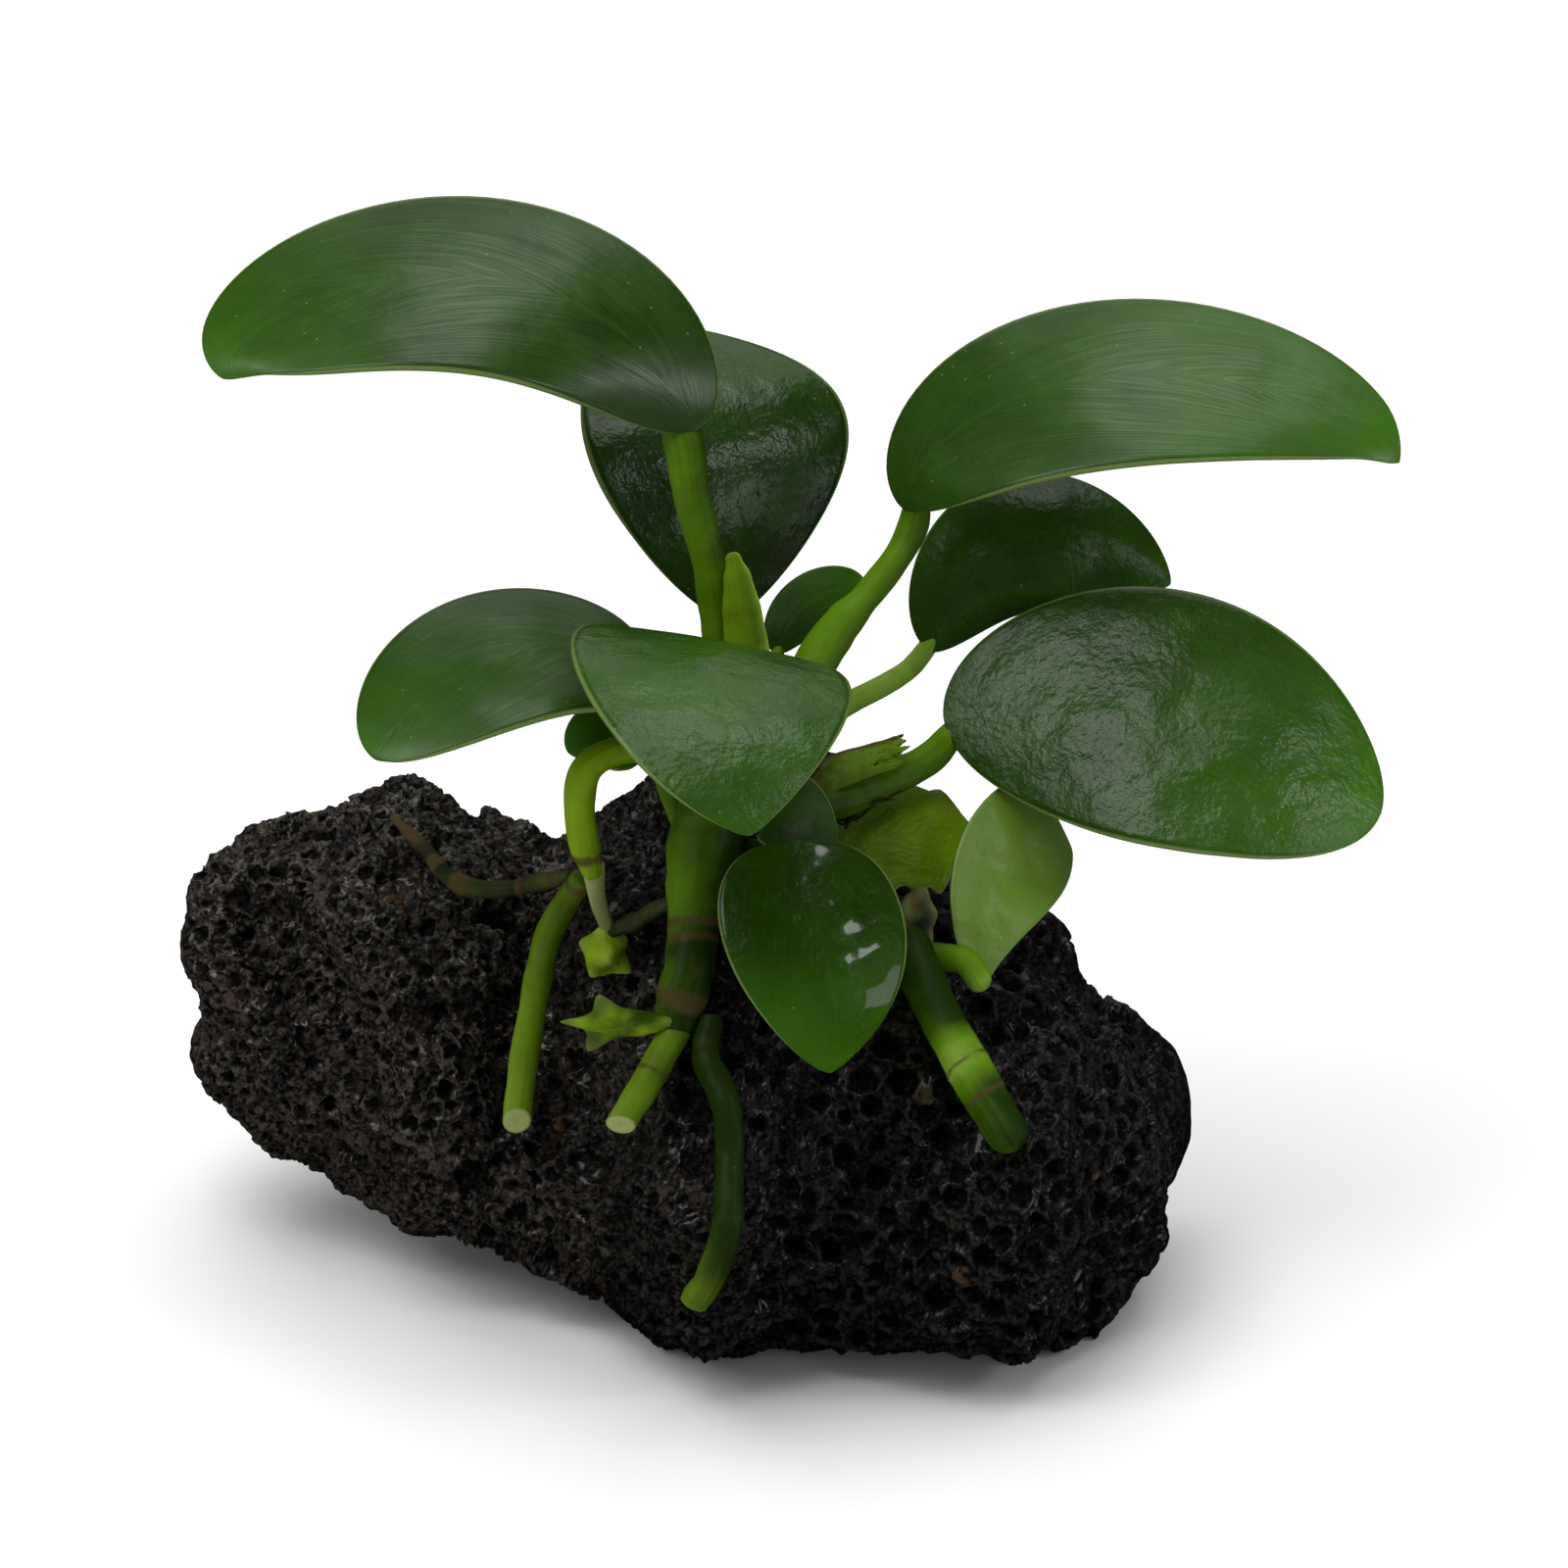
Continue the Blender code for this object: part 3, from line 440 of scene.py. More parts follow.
# A bud is a rounded body with points: the way to each, its length and how sharp it is. base_tone is
# how light it is and worn how far its skin has turned brown. node is the solid it stands for, where
# that isn't its own.
Bud = namedtuple(
    "Bud", "place half_sizes points base_tone worn finish slot node",
    defaults=(0.15, 0.0, "shoot", "stem_light", None),
)
BUDS = {
    "bud": Bud(
        (-8.1, -18.0, 42.4), (2.0, 1.7, 2.3),
        [
            ((-1.0, -0.2, 0.45), 0.7, 16), ((1.0, -0.3, -0.7), 1.2, 14), ((0.0, -0.1, 1.0), 0.7, 12),
            ((-0.6, -0.3, -1.0), 0.7, 14), ((0.2, -1.0, 0.1), 0.6, 10), ((0.9, 0.0, 0.5), 0.5, 12),
        ],
        base_tone=0.55,
    ),
    "star_bract": Bud(
        (-6.0, -30.2, 40.9), (4.2, 1.0, 1.35),
        [
            ((-1.0, 0.0, 0.03), 1.9, 18), ((-0.42, 0.0, 1.0), 1.9, 26), ((-0.62, 0.0, -1.0), 2.3, 22),
            ((1.0, 0.0, 0.05), 1.2, 10),
        ],
    ),
    "crown_scales": Bud(
        (21.5, -18.4, 45.7), (1.7, 1.2, 3.3),
        [
            ((0.5, -0.3, 1.0), 1.1, 12), ((1.0, -0.2, 0.3), 0.7, 16), ((-0.4, -0.6, 0.5), 0.5, 10),
            ((0.8, -0.4, -0.5), 0.6, 14), ((-0.6, -0.3, -0.7), 0.5, 12),
        ],
        worn=0.5, finish="brown root", slot="stem_green", node="rhizome_right",
    ),
}

# The torn sheath lies on its stalk between a lower and an upper edge. out is the way it bulges and
# ragged how far its end is torn.
Sheath = namedtuple("Sheath", "lower upper out ragged")
TORN_SHEATH = Sheath(
    [(11.4, -12.2, 55.2), (14.0, -11.0, 55.9), (17.0, -9.4, 56.6), (20.9, -7.4, 57.2)],
    [(10.6, -10.4, 57.0), (13.6, -9.0, 58.7), (17.4, -7.4, 59.2), (21.6, -6.0, 59.9)],
    (0.0, -0.7, 0.5), 0.20,
)
SHEATH_THICKNESS = 0.35 * MM
# Grids: along and round a bud, and along and across the sheath.
BUD_GRID, SHEATH_GRID = (48, 64), (60, 24)

# Dark frayed fibres of old sheaths in the crown: where each starts and ends.
FIBRES = [
    ((13.4, -10.5, 52.2), (18.2, -9.4, 54.4)), ((14.2, -10.2, 52.6), (19.8, -8.8, 54.2)),
    ((15.0, -10.8, 52.0), (17.4, -9.8, 54.0)), ((13.8, -10.6, 53.2), (16.2, -10.2, 52.4)),
    ((16.4, -10.2, 53.8), (20.4, -8.6, 55.0)), ((10.2, -11.8, 57.4), (12.6, -10.4, 58.2)),
    ((10.6, -12.2, 56.6), (12.0, -10.8, 58.4)), ((21.0, -17.0, 46.9), (22.2, -18.2, 44.0)),
    ((22.0, -17.6, 46.0), (21.2, -18.6, 42.2)), ((20.4, -17.8, 45.4), (22.6, -18.4, 41.4)),
]
FIBRE_RADII = [0.14, 0.17, 0.14, 0.06]
FIBRE_ROUND = 8

# The pale specks on the blades, and the black painted as shade into the stone's pores and hollows.
SPECK = paint(150, 165, 140)
PORE_SHADE_BLACK = (0.0008, 0.0008, 0.0008)

# The place that the camera and the soft boxes aim at.
TARGET = (9.1, 0.0, 51.7)
SKY_STRENGTH = 0.445
# The broad soft light above: its tilt and its spread in degrees, and its strength.
KEY_TILT = (-6, -4, 0)
KEY_SPREAD = 64
KEY_STRENGTH = 1.85
# The soft boxes: the way to each and the way its width runs, its distance and size, how bright its
# face is, and whether it lights the plant or is only seen mirrored in it.
Panel = namedtuple("Panel", "name way along distance size glow lights")
PANELS = [
    Panel(
        "soft box above left", (-0.43, -0.38, 0.82), (0.69, 0.05, 0.38), 780, (680, 280), 3.5, True
    ),
    Panel("panel above", (0.13, 0.22, 0.96), (1, 0, 0), 780, (350, 420), 2.3, False),
    Panel("panel behind", (0.05, 0.80, 0.60), (1, 0, 0), 800, (650, 760), 0.5, False),
    Panel("window right", (0.77, -0.34, 0.53), (0.4, 1, 0), 700, (130, 140), 8.5, True),
    Panel("low panel right", (0.90, -0.38, -0.20), (0.4, 1, 0), 300, (100, 180), 2.3, False),
]


# -------------------------------------------------------------------------------- the settings


class StoneSettings(bpy.types.PropertyGroup):
    pores: bpy.props.IntProperty(
        name="Pores", description="How many places for small pores are tried", default=15000
    )
    smallest_pore: bpy.props.FloatProperty(
        name="Smallest pore", description="Width of the smallest modelled pores", default=0.0008,
        subtype="DISTANCE", unit="LENGTH",
    )
    largest_pore: bpy.props.FloatProperty(
        name="Largest pore", description="Width of the largest small pores, before the froth",
        default=0.0026, subtype="DISTANCE", unit="LENGTH",
    )
    black: bpy.props.FloatVectorProperty(
        name="Stone", description="Colour of the stone", default=(0.0275, 0.0245, 0.0205),
        subtype="COLOR",
    )
    wet: bpy.props.FloatVectorProperty(
        name="Wet stone", description="Colour of the stone's damp right half",
        default=(0.0120, 0.0118, 0.0106), subtype="COLOR",
    )
    brown: bpy.props.FloatVectorProperty(
        name="Dry grain", description="Colour of the drier grain", default=(0.070, 0.047, 0.0280),
        subtype="COLOR",
    )
    rust: bpy.props.FloatVectorProperty(
        name="Rust", description="Colour of the rusty spots", default=(0.110, 0.048, 0.0130),
        subtype="COLOR",
    )
    algae: bpy.props.FloatVectorProperty(
        name="Algae", description="Colour of the thin film of algae",
        default=(0.075, 0.062, 0.0150), subtype="COLOR",
    )


class LeafSettings(bpy.types.PropertyGroup):
    thickness: bpy.props.FloatProperty(
        name="Thickness", description="Thickness of a blade at its midrib", default=0.0005,
        subtype="DISTANCE", unit="LENGTH",
    )
    veins: bpy.props.IntProperty(
        name="Veins", description="Side veins along each half of a blade", default=15
    )
    dark: bpy.props.FloatVectorProperty(
        name="Grown leaf", description="Colour of a grown blade", default=(0.0095, 0.032, 0.0010),
        subtype="COLOR",
    )
    bright: bpy.props.FloatVectorProperty(
        name="Blade's tip", description="Colour of a grown blade where it is lightest",
        default=(0.043, 0.140, 0.0040), subtype="COLOR",
    )
    young: bpy.props.FloatVectorProperty(
        name="Young leaf", description="Colour of a young blade", default=(0.150, 0.290, 0.026),
        subtype="COLOR",
    )
    yellow: bpy.props.FloatVectorProperty(
        name="Yellow leaf", description="Colour of the yellowed blade",
        default=(0.150, 0.280, 0.0015), subtype="COLOR",
    )
    margin: bpy.props.FloatVectorProperty(
        name="Margin", description="Colour of the thin pale margin", default=(0.160, 0.230, 0.060),
        subtype="COLOR",
    )


class StemSettings(bpy.types.PropertyGroup):
    green: bpy.props.FloatVectorProperty(
        name="Stalk", description="Colour of stalks and the thick stem",
        default=(0.085, 0.190, 0.0020), subtype="COLOR",
    )
    light: bpy.props.FloatVectorProperty(
        name="Shoot", description="Colour of the young shoot", default=(0.170, 0.290, 0.0020),
        subtype="COLOR",
    )
    sheath: bpy.props.FloatVectorProperty(
        name="Sheath", description="Colour of the thin sheaths", default=(0.120, 0.220, 0.0040),
        subtype="COLOR",
    )
    root: bpy.props.FloatVectorProperty(
        name="Root", description="Colour of the green roots", default=(0.090, 0.165, 0.0030),
        subtype="COLOR",
    )
    brown: bpy.props.FloatVectorProperty(
        name="Scars", description="Colour of scars and brown patches",
        default=(0.060, 0.040, 0.0110), subtype="COLOR",
    )
    bark: bpy.props.FloatVectorProperty(
        name="Old root", description="Colour of the old thin roots", default=(0.085, 0.100, 0.0180),
        subtype="COLOR",
    )
    cut: bpy.props.FloatVectorProperty(
        name="Cut end", description="Colour of a cut end", default=(0.270, 0.310, 0.100),
        subtype="COLOR",
    )


class StudioSettings(bpy.types.PropertyGroup):
    elevation: bpy.props.FloatProperty(
        name="Elevation", description="How far the camera looks down", default=math.radians(25),
        subtype="ANGLE", unit="ROTATION",
    )
    distance: bpy.props.FloatProperty(
        name="Distance", description="From the camera to the plant", default=0.7,
        subtype="DISTANCE", unit="LENGTH",
    )
    lens: bpy.props.FloatProperty(
        name="Lens", description="Focal length on a 36 mm sensor", default=164.6
    )
    floor: bpy.props.FloatVectorProperty(
        name="Floor", description="Colour of the floor", default=(0.93, 0.93, 0.93),
        subtype="COLOR",
    )


# -------------------------------------------------------------------------------- node helpers


class Nodes:
    """Adds shader nodes to one tree and links them, left to right."""

    def __init__(self, tree):
        self.tree = tree

    def add(self, kind, **settings):
        node = self.tree.nodes.new(kind)
        for name, value in settings.items():
            setattr(node, name, value)
        return node

    def join(self, source, target):
        self.tree.links.new(source, target)

    def feed(self, node, inputs):
        for name, value in inputs.items():
            if isinstance(value, bpy.types.NodeSocket):
                self.join(value, node.inputs[name])
            else:
                node.inputs[name].default_value = value

    def maths(self, operation, a, b=0.0, clamp=False):
        node = self.add("ShaderNodeMath", operation=operation, use_clamp=clamp)
        self.feed(node, {0: a, 1: b})
        return node.outputs[0]

    def plus(self, a, b, clamp=False):
        return self.maths("ADD", a, b, clamp)

    def minus(self, a, b):
        return self.maths("SUBTRACT", a, b)

    def times(self, a, b):
        return self.maths("MULTIPLY", a, b)

    def most(self, a, b):
        return self.maths("MAXIMUM", a, b)

    def noise(self, vector, scale, detail=3.0, roughness=0.55):
        node = self.add("ShaderNodeTexNoise")
        self.feed(node, {"Vector": vector, "Scale": scale})
        self.feed(node, {"Detail": detail, "Roughness": roughness})
        return node.outputs["Fac"]

    def cells(self, vector, scale):
        """The distance to the nearest of many scattered points, and that point's random colour."""
        node = self.add("ShaderNodeTexVoronoi")
        self.feed(node, {"Vector": vector, "Scale": scale})
        return node.outputs["Distance"], node.outputs["Color"]

    def step(self, value, low, high, to_low=0.0, to_high=1.0):
        node = self.add("ShaderNodeMapRange", interpolation_type="SMOOTHSTEP")
        self.feed(node, {0: value, 1: low, 2: high, 3: to_low, 4: to_high})
        return node.outputs[0]

    def mix(self, share, a, b):
        node = self.add("ShaderNodeMix", data_type="RGBA")
        self.join(share, node.inputs[0])
        for socket, value in ((node.inputs[6], a), (node.inputs[7], b)):
            if isinstance(value, bpy.types.NodeSocket):
                self.join(value, socket)
            else:
                socket.default_value = (*value, 1.0)
        return node.outputs[2]

    def split(self, vector):
        node = self.add("ShaderNodeSeparateXYZ")
        self.join(vector, node.inputs[0])
        return node.outputs

    def channels(self, colour):
        node = self.add("ShaderNodeSeparateColor")
        self.join(colour, node.inputs[0])
        return node.outputs

    def flat_place(self):
        """The place on the piece's own unrolled grid: x across or round it, y along it."""
        return self.add("ShaderNodeUVMap", uv_map="UVMap").outputs[0]

    def solid_place(self):
        return self.add("ShaderNodeTexCoord").outputs["Object"]

    def attribute(self, name):
        return self.add("ShaderNodeAttribute", attribute_name=name).outputs["Fac"]

    def combine(self, x, y, z):
        node = self.add("ShaderNodeCombineXYZ")
        self.feed(node, {0: x, 1: y, 2: z})
        return node.outputs[0]

    def bump(self, height, strength, distance, normal=None):
        node = self.add("ShaderNodeBump")
        self.feed(node, {"Height": height, "Strength": strength, "Distance": distance})
        if normal is not None:
            self.join(normal, node.inputs["Normal"])
        return node.outputs[0]


def new_group(name, inputs, outputs):
    """A shader node group with float inputs and outputs, and one vector input named Vector."""
    group = bpy.data.node_groups.new(name, "ShaderNodeTree")
    group.interface.new_socket("Vector", in_out="INPUT", socket_type="NodeSocketVector")
    for socket, value in inputs.items():
        made = group.interface.new_socket(socket, in_out="INPUT", socket_type="NodeSocketFloat")
        made.default_value = value
    for socket in outputs:
        group.interface.new_socket(socket, in_out="OUTPUT", socket_type="NodeSocketFloat")
    nodes = Nodes(group)
    return nodes, nodes.add("NodeGroupInput").outputs, nodes.add("NodeGroupOutput").inputs


def use_group(nodes, name, vector, **values):
    node = nodes.add("ShaderNodeGroup", node_tree=bpy.data.node_groups[name])
    nodes.join(vector, node.inputs["Vector"])
    for socket, value in values.items():
        node.inputs[socket].default_value = value
    return node.outputs


def new_material(name, roughness, **constants):
    """A material whose fixed values stand on its Principled shader's own sockets."""
    material = bpy.data.materials.new(name)
    material.use_nodes = True
    shader = material.node_tree.nodes["Principled BSDF"]
    shader.inputs["Roughness"].default_value = roughness
    for socket, value in constants.items():
        shader.inputs[socket.replace("_", " ")].default_value = value
    return Nodes(material.node_tree), shader


def make_vein_group():
    """Side veins that sweep from the midrib to the tip, the streaks between them and the margin."""
    nodes, given, result = new_group(
        "leaf veins", {"Veins": 15.0}, ("Height", "Streaks", "Margin", "Midrib", "Base")
    )
    across, along, _ = nodes.split(given["Vector"])
    side = nodes.maths("ABSOLUTE", nodes.minus(nodes.times(across, 2.0), 1.0))
    bent = nodes.times(nodes.maths("POWER", side, 3.0), 0.45)
    curl = nodes.plus(nodes.times(side, 0.50), bent)
    wobble = nodes.times(nodes.noise(given["Vector"], 4.0, 3.0), 0.10)
    place = nodes.plus(nodes.minus(along, curl), wobble)
    turns = nodes.times(given["Veins"], 2 * math.pi)
    wave = nodes.maths("SINE", nodes.times(place, turns))
    ridge = nodes.maths("POWER", nodes.plus(nodes.times(wave, 0.5), 0.5), 6.0)
    patchy = nodes.step(nodes.noise(given["Vector"], 6.0, 2.0), 0.35, 0.70)
    ridge = nodes.times(ridge, patchy)
    stretched = nodes.combine(nodes.times(place, 70.0), nodes.times(side, 5.0), 0.0)
    fine = nodes.noise(stretched, 1.0, 5.0, 0.6)
    rib = nodes.step(side, 0.0, 0.045, 1.0, 0.0)
    height = nodes.plus(nodes.times(ridge, 0.06), nodes.times(fine, 0.40))
    nodes.join(nodes.minus(height, nodes.times(rib, 0.2)), result["Height"])
    streaks = nodes.plus(fine, nodes.times(ridge, 0.05))
    nodes.join(nodes.step(streaks, 0.35, 0.75), result["Streaks"])
    nodes.join(nodes.step(side, 0.966, 0.990), result["Margin"])
    nodes.join(rib, result["Midrib"])
    from_base = nodes.plus(along, nodes.times(side, 0.10))
    nodes.join(nodes.step(from_base, 0.02, 0.09, 1.0, 0.0), result["Base"])


def make_speck_group():
    """Sparse pale specks, and the fine mottling under them."""
    nodes, given, result = new_group("specks", {"Scale": 900.0}, ("Specks", "Mottle"))
    distance, colour = nodes.cells(given["Vector"], given["Scale"])
    near = nodes.step(distance, 0.06, 0.11, 1.0, 0.0)
    chosen = nodes.maths("GREATER_THAN", nodes.channels(colour)[0], 0.86)
    nodes.join(nodes.times(near, chosen), result["Specks"])
    nodes.join(nodes.noise(given["Vector"], 420.0, 4.0), result["Mottle"])


def leaf_material(
    name, dark, bright, margin, veins, roughness, wrinkled,
    coat=0.0, shine=0.5, streaky=0.0, soft=0.28, mottled=0.16,
):
    """A waxy blade. Its colour runs from dark to bright by its shade. wrinkled is how deep its grain
    is, soft how rough its coat is, and streaky and mottled how far its veins show in its coat and
    in its colour.
    """
    nodes, shader = new_material(
        name, roughness, Coat_Weight=coat, Coat_Roughness=soft, Specular_IOR_Level=shine,
    )
    place, solid = nodes.flat_place(), nodes.solid_place()
    vein = use_group(nodes, "leaf veins", place, Veins=float(veins))
    speck = use_group(nodes, "specks", solid)
    cloud = nodes.step(nodes.noise(solid, 110.0, 4.0, 0.6), 0.30, 0.72, -0.10, 0.12)
    streaks = nodes.minus(vein["Streaks"], 0.5)
    shade = nodes.plus(nodes.times(streaks, mottled), cloud)
    colour = nodes.mix(nodes.plus(nodes.attribute("shade"), shade, clamp=True), dark, bright)
    for mask, share, tint in (
        (vein["Midrib"], 0.10, bright), (vein["Base"], 0.30, bright), (vein["Margin"], 0.80, margin),
        (speck["Specks"], 0.35, SPECK),
    ):
        colour = nodes.mix(nodes.times(mask, share), colour, tint)
    nodes.join(colour, shader.inputs["Base Color"])
    rough = nodes.plus(roughness - 0.06, nodes.times(speck["Mottle"], 0.12))
    nodes.join(rough, shader.inputs["Roughness"])
    if streaky:
        waxy = nodes.plus(nodes.times(streaks, streaky), coat, clamp=True)
        nodes.join(waxy, shader.inputs["Coat Weight"])
    relief = nodes.bump(vein["Height"], 0.25, 0.25 * MM)
    coarse, fine = nodes.noise(solid, 460.0, 3.0, 0.6), nodes.noise(solid, 1500.0, 3.0, 0.6)
    grain = nodes.plus(coarse, nodes.times(fine, 0.35))
    leathery = nodes.bump(grain, wrinkled, 0.5 * MM, relief)
    nodes.join(nodes.bump(speck["Mottle"], 0.20, 0.2 * MM, leathery), shader.inputs["Normal"])


def stem_material(name, colour, scar, cut, roughness=0.42, shine=0.10):
    """A fleshy stem: dark, as painted shade, where its tone is low, its own colour at 1 and paler
    above.
    """
    nodes, shader = new_material(name, roughness, Specular_IOR_Level=shine)
    place, solid = nodes.flat_place(), nodes.solid_place()
    around, along, _ = nodes.split(place)
    stretched = nodes.combine(nodes.times(around, 14.0), nodes.times(along, 1.6), 0.0)
    strips = nodes.noise(stretched, 1.0, 4.0)
    speck = use_group(nodes, "specks", solid)
    patches = nodes.noise(solid, 260.0, 4.0, 0.6)
    share = nodes.plus(nodes.times(strips, 0.55), nodes.times(patches, 0.75))
    light = nodes.plus(nodes.attribute("tone"), nodes.minus(share, 0.65))
    # The colour of the painted shade, where the tone is low.
    deep = (0.10 * colour[0], 0.14 * colour[1], 0.3 * colour[2])
    paler = tuple(1.2 * c + 0.35 * d for c, d in zip(colour, cut))
    tone = nodes.mix(nodes.step(light, -0.15, 1.10), deep, colour)
    tone = nodes.mix(nodes.step(light, 0.95, 1.90), tone, paler)
    blotches = nodes.step(nodes.noise(solid, 330.0, 5.0, 0.7), 0.54, 0.74, 0.0, 0.35)
    tone = nodes.mix(blotches, tone, scar)
    tone = nodes.mix(nodes.times(speck["Specks"], 0.15), tone, cut)
    uneven = nodes.plus(0.35, nodes.noise(solid, 700.0, 4.0))
    worn = nodes.times(nodes.attribute("ring"), uneven)
    tone = nodes.mix(nodes.step(worn, 0.30, 0.75, 0.0, 0.85), tone, scar)
    tone = nodes.mix(nodes.attribute("cut"), tone, cut)
    nodes.join(tone, shader.inputs["Base Color"])
    height = nodes.plus(strips, nodes.times(speck["Mottle"], 0.5))
    nodes.join(nodes.bump(height, 0.30, 0.3 * MM), shader.inputs["Normal"])


def make_pore_group():
    """Tiny round pores, from 0 on the skin to 1 at their bottom, and the grain between them."""
    nodes, given, result = new_group("fine pores", {"Share": 0.35}, ("Pores", "Grain"))
    warp = nodes.add("ShaderNodeTexNoise")
    nodes.feed(warp, {"Vector": given["Vector"], "Scale": 900.0, "Detail": 2.0})
    shift = nodes.add("ShaderNodeVectorMath", operation="MULTIPLY_ADD")
    nodes.feed(shift, {0: warp.outputs["Color"], 1: (0.9 * MM,) * 3, 2: given["Vector"]})
    place = shift.outputs[0]
    distance, colour = nodes.cells(place, 1500.0)
    draw_size, draw_share, _ = nodes.channels(colour)
    size = nodes.times(nodes.plus(draw_size, 0.55), 0.40)
    deep = nodes.step(nodes.maths("DIVIDE", distance, size), 0.55, 1.0, 1.0, 0.0)
    chosen = nodes.maths("LESS_THAN", draw_share, given["Share"])
    nodes.join(nodes.times(deep, chosen), result["Pores"])
    ragged = nodes.times(nodes.noise(place, 1300.0, 3.0, 0.7), 0.6)
    knob = nodes.minus(1.0, nodes.cells(place, 1900.0)[0])
    nodes.join(nodes.plus(ragged, nodes.times(knob, 0.4)), result["Grain"])


def stain_mask(nodes, place, stains, frayed):
    """1 inside any of the stains, with frayed edges."""
    inside = 0.0
    for stain in stains:
        apart = nodes.add("ShaderNodeVectorMath", operation="DISTANCE")
        nodes.feed(apart, {0: place, 1: tuple(c * MM for c in stain.place)})
        size = stain.radius * MM
        near = nodes.step(apart.outputs["Value"], 0.3 * size, 1.2 * size, 1.0, 0.0)
        inside = nodes.most(inside, near)
    return nodes.step(nodes.times(inside, frayed), 0.34, 0.55)


def stone_material(settings):
    """Black lava: a dry brown left half, a damp right half, painted shade in its pores and hollows.
    """
    nodes, shader = new_material(
        "lava", 0.6, Specular_IOR_Level=0.16, Coat_Roughness=0.20, Coat_IOR=1.5,
    )
    solid = nodes.solid_place()
    along = nodes.times(nodes.split(solid)[0], -14.0)
    left = nodes.step(nodes.plus(along, nodes.noise(solid, 60.0, 3.0)), 0.35, 0.95)
    fine = use_group(nodes, "fine pores", solid)
    pores, grain = fine["Pores"], fine["Grain"]

    # Partly the grain's own colour, partly painted highlight and shade: lighter on the raised grain
    # and the pore rims, darker between them.
    raised = nodes.plus(grain, nodes.times(nodes.attribute("rim"), 0.22))
    highlit_grain = nodes.step(raised, 0.40, 0.79)
    halves = [
        nodes.mix(highlit_grain, tuple(0.15 * c for c in plain), tuple(light * c for c in plain))
        for plain, light in ((settings.wet, 2.0), (settings.black, 2.9))
    ]
    dusty = nodes.plus(nodes.times(left, 0.55), 0.15)
    dusty = nodes.times(dusty, nodes.step(nodes.noise(solid, 800.0, 3.0, 0.6), 0.46, 0.66))
    frayed = nodes.plus(0.15, nodes.noise(solid, 1300.0, 4.0, 0.65))
    grains = nodes.step(nodes.noise(solid, 420.0, 4.0, 0.6), 0.68, 0.76)
    rusty = nodes.most(stain_mask(nodes, solid, RUST_STAINS, frayed), grains)
    patches = nodes.step(nodes.noise(solid, 180.0, 5.0, 0.7), 0.66, 0.76)
    green = nodes.most(stain_mask(nodes, solid, ALGAE_STAINS, frayed), patches)
    # Painted shade: black in the pores and hollows, deeper and narrower ones darker, and in scattered
    # noisy patches.
    sunk = nodes.step(nodes.attribute("cavity"), 0.12, 0.95, 0.0, 0.94)
    shadowy = nodes.step(nodes.noise(solid, 145.0, 3.0, 0.6), 0.48, 0.68, 0.0, 0.50)
    shade = nodes.most(nodes.times(pores, 0.9), nodes.most(sunk, shadowy))
    colour = nodes.mix(left, *halves)
    for share, tint in (
        (dusty, settings.brown), (nodes.times(rusty, 0.60), settings.rust),
        (nodes.times(green, 0.40), settings.algae), (shade, PORE_SHADE_BLACK),
    ):
        colour = nodes.mix(share, colour, tuple(tint))
    nodes.join(colour, shader.inputs["Base Color"])

    damp = nodes.step(nodes.noise(solid, 300.0, 4.0, 0.6), 0.40, 0.60)
    nodes.join(nodes.minus(0.68, nodes.times(damp, 0.3)), shader.inputs["Roughness"])
    film = nodes.times(damp, nodes.plus(0.60, nodes.times(left, 0.40)))
    nodes.join(nodes.times(film, nodes.minus(1.0, shade)), shader.inputs["Coat Weight"])
    height = nodes.minus(grain, nodes.times(pores, 0.6))
    nodes.join(nodes.bump(height, 1.0, 0.9 * MM), shader.inputs["Normal"])


# ------------------------------------------------------------------------------- mesh helpers


def deselect():
    for thing in bpy.context.selected_objects:
        thing.select_set(False)


@contextmanager
def editing(piece, action="SELECT"):
    """Edit mode on one piece, with the whole of its mesh selected or not."""
    deselect()
    piece.select_set(True)
    bpy.context.view_layer.objects.active = piece
    bpy.ops.object.mode_set(mode="EDIT")
    bpy.ops.mesh.select_all(action=action)
    yield
    bpy.ops.object.mode_set(mode="OBJECT")


def grid_piece(name, along, across, place, closed=False):
    """A grid whose points are moved by place(u, v), u across and v along, both from 0 to 1. place
    also gives each point's marks, which become the mesh's attributes."""
    deselect()
    bpy.ops.mesh.primitive_grid_add(x_subdivisions=across, y_subdivisions=along, size=2.0)
    piece = bpy.context.object
    piece.name = piece.data.name = name
    values = {}
    for i, vertex in enumerate(piece.data.vertices):
        co, marks = place((vertex.co.x + 1) / 2, (vertex.co.y + 1) / 2)
        vertex.co = Vector(co) * MM
        for mark, value in marks.items():
            values.setdefault(mark, []).append(value)
    for mark, numbers in values.items():
        piece.data.attributes.new(mark, "FLOAT", "POINT").data.foreach_set("value", numbers)
    if closed:
        close_up(piece)
    return piece


def close_up(piece):
    """Merge a wrapped grid's seam and poles and turn its faces outwards."""
    with editing(piece):
        bpy.ops.mesh.remove_doubles(threshold=DOUBLED)
        bpy.ops.mesh.normals_make_consistent(inside=False)


def keep_in_box(piece):
    """Hold the piece inside the plain model's box."""
    low, high = MODEL_BOX
    for vertex in piece.data.vertices:
        vertex.co = [clamp(c, a, b) for c, a, b in zip(vertex.co, low, high)]


def finish(piece, material, slot, *nodes):
    """Give a piece its material, and let it stand for its nodes. Its slot is not used."""
    keep_in_box(piece)
    piece.data.materials.append(bpy.data.materials[material])
    for polygon in piece.data.polygons:
        polygon.use_smooth = True
    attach(piece, "root")
    if nodes:
        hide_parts(*nodes)


# ------------------------------------------------------------------------------------ the stone


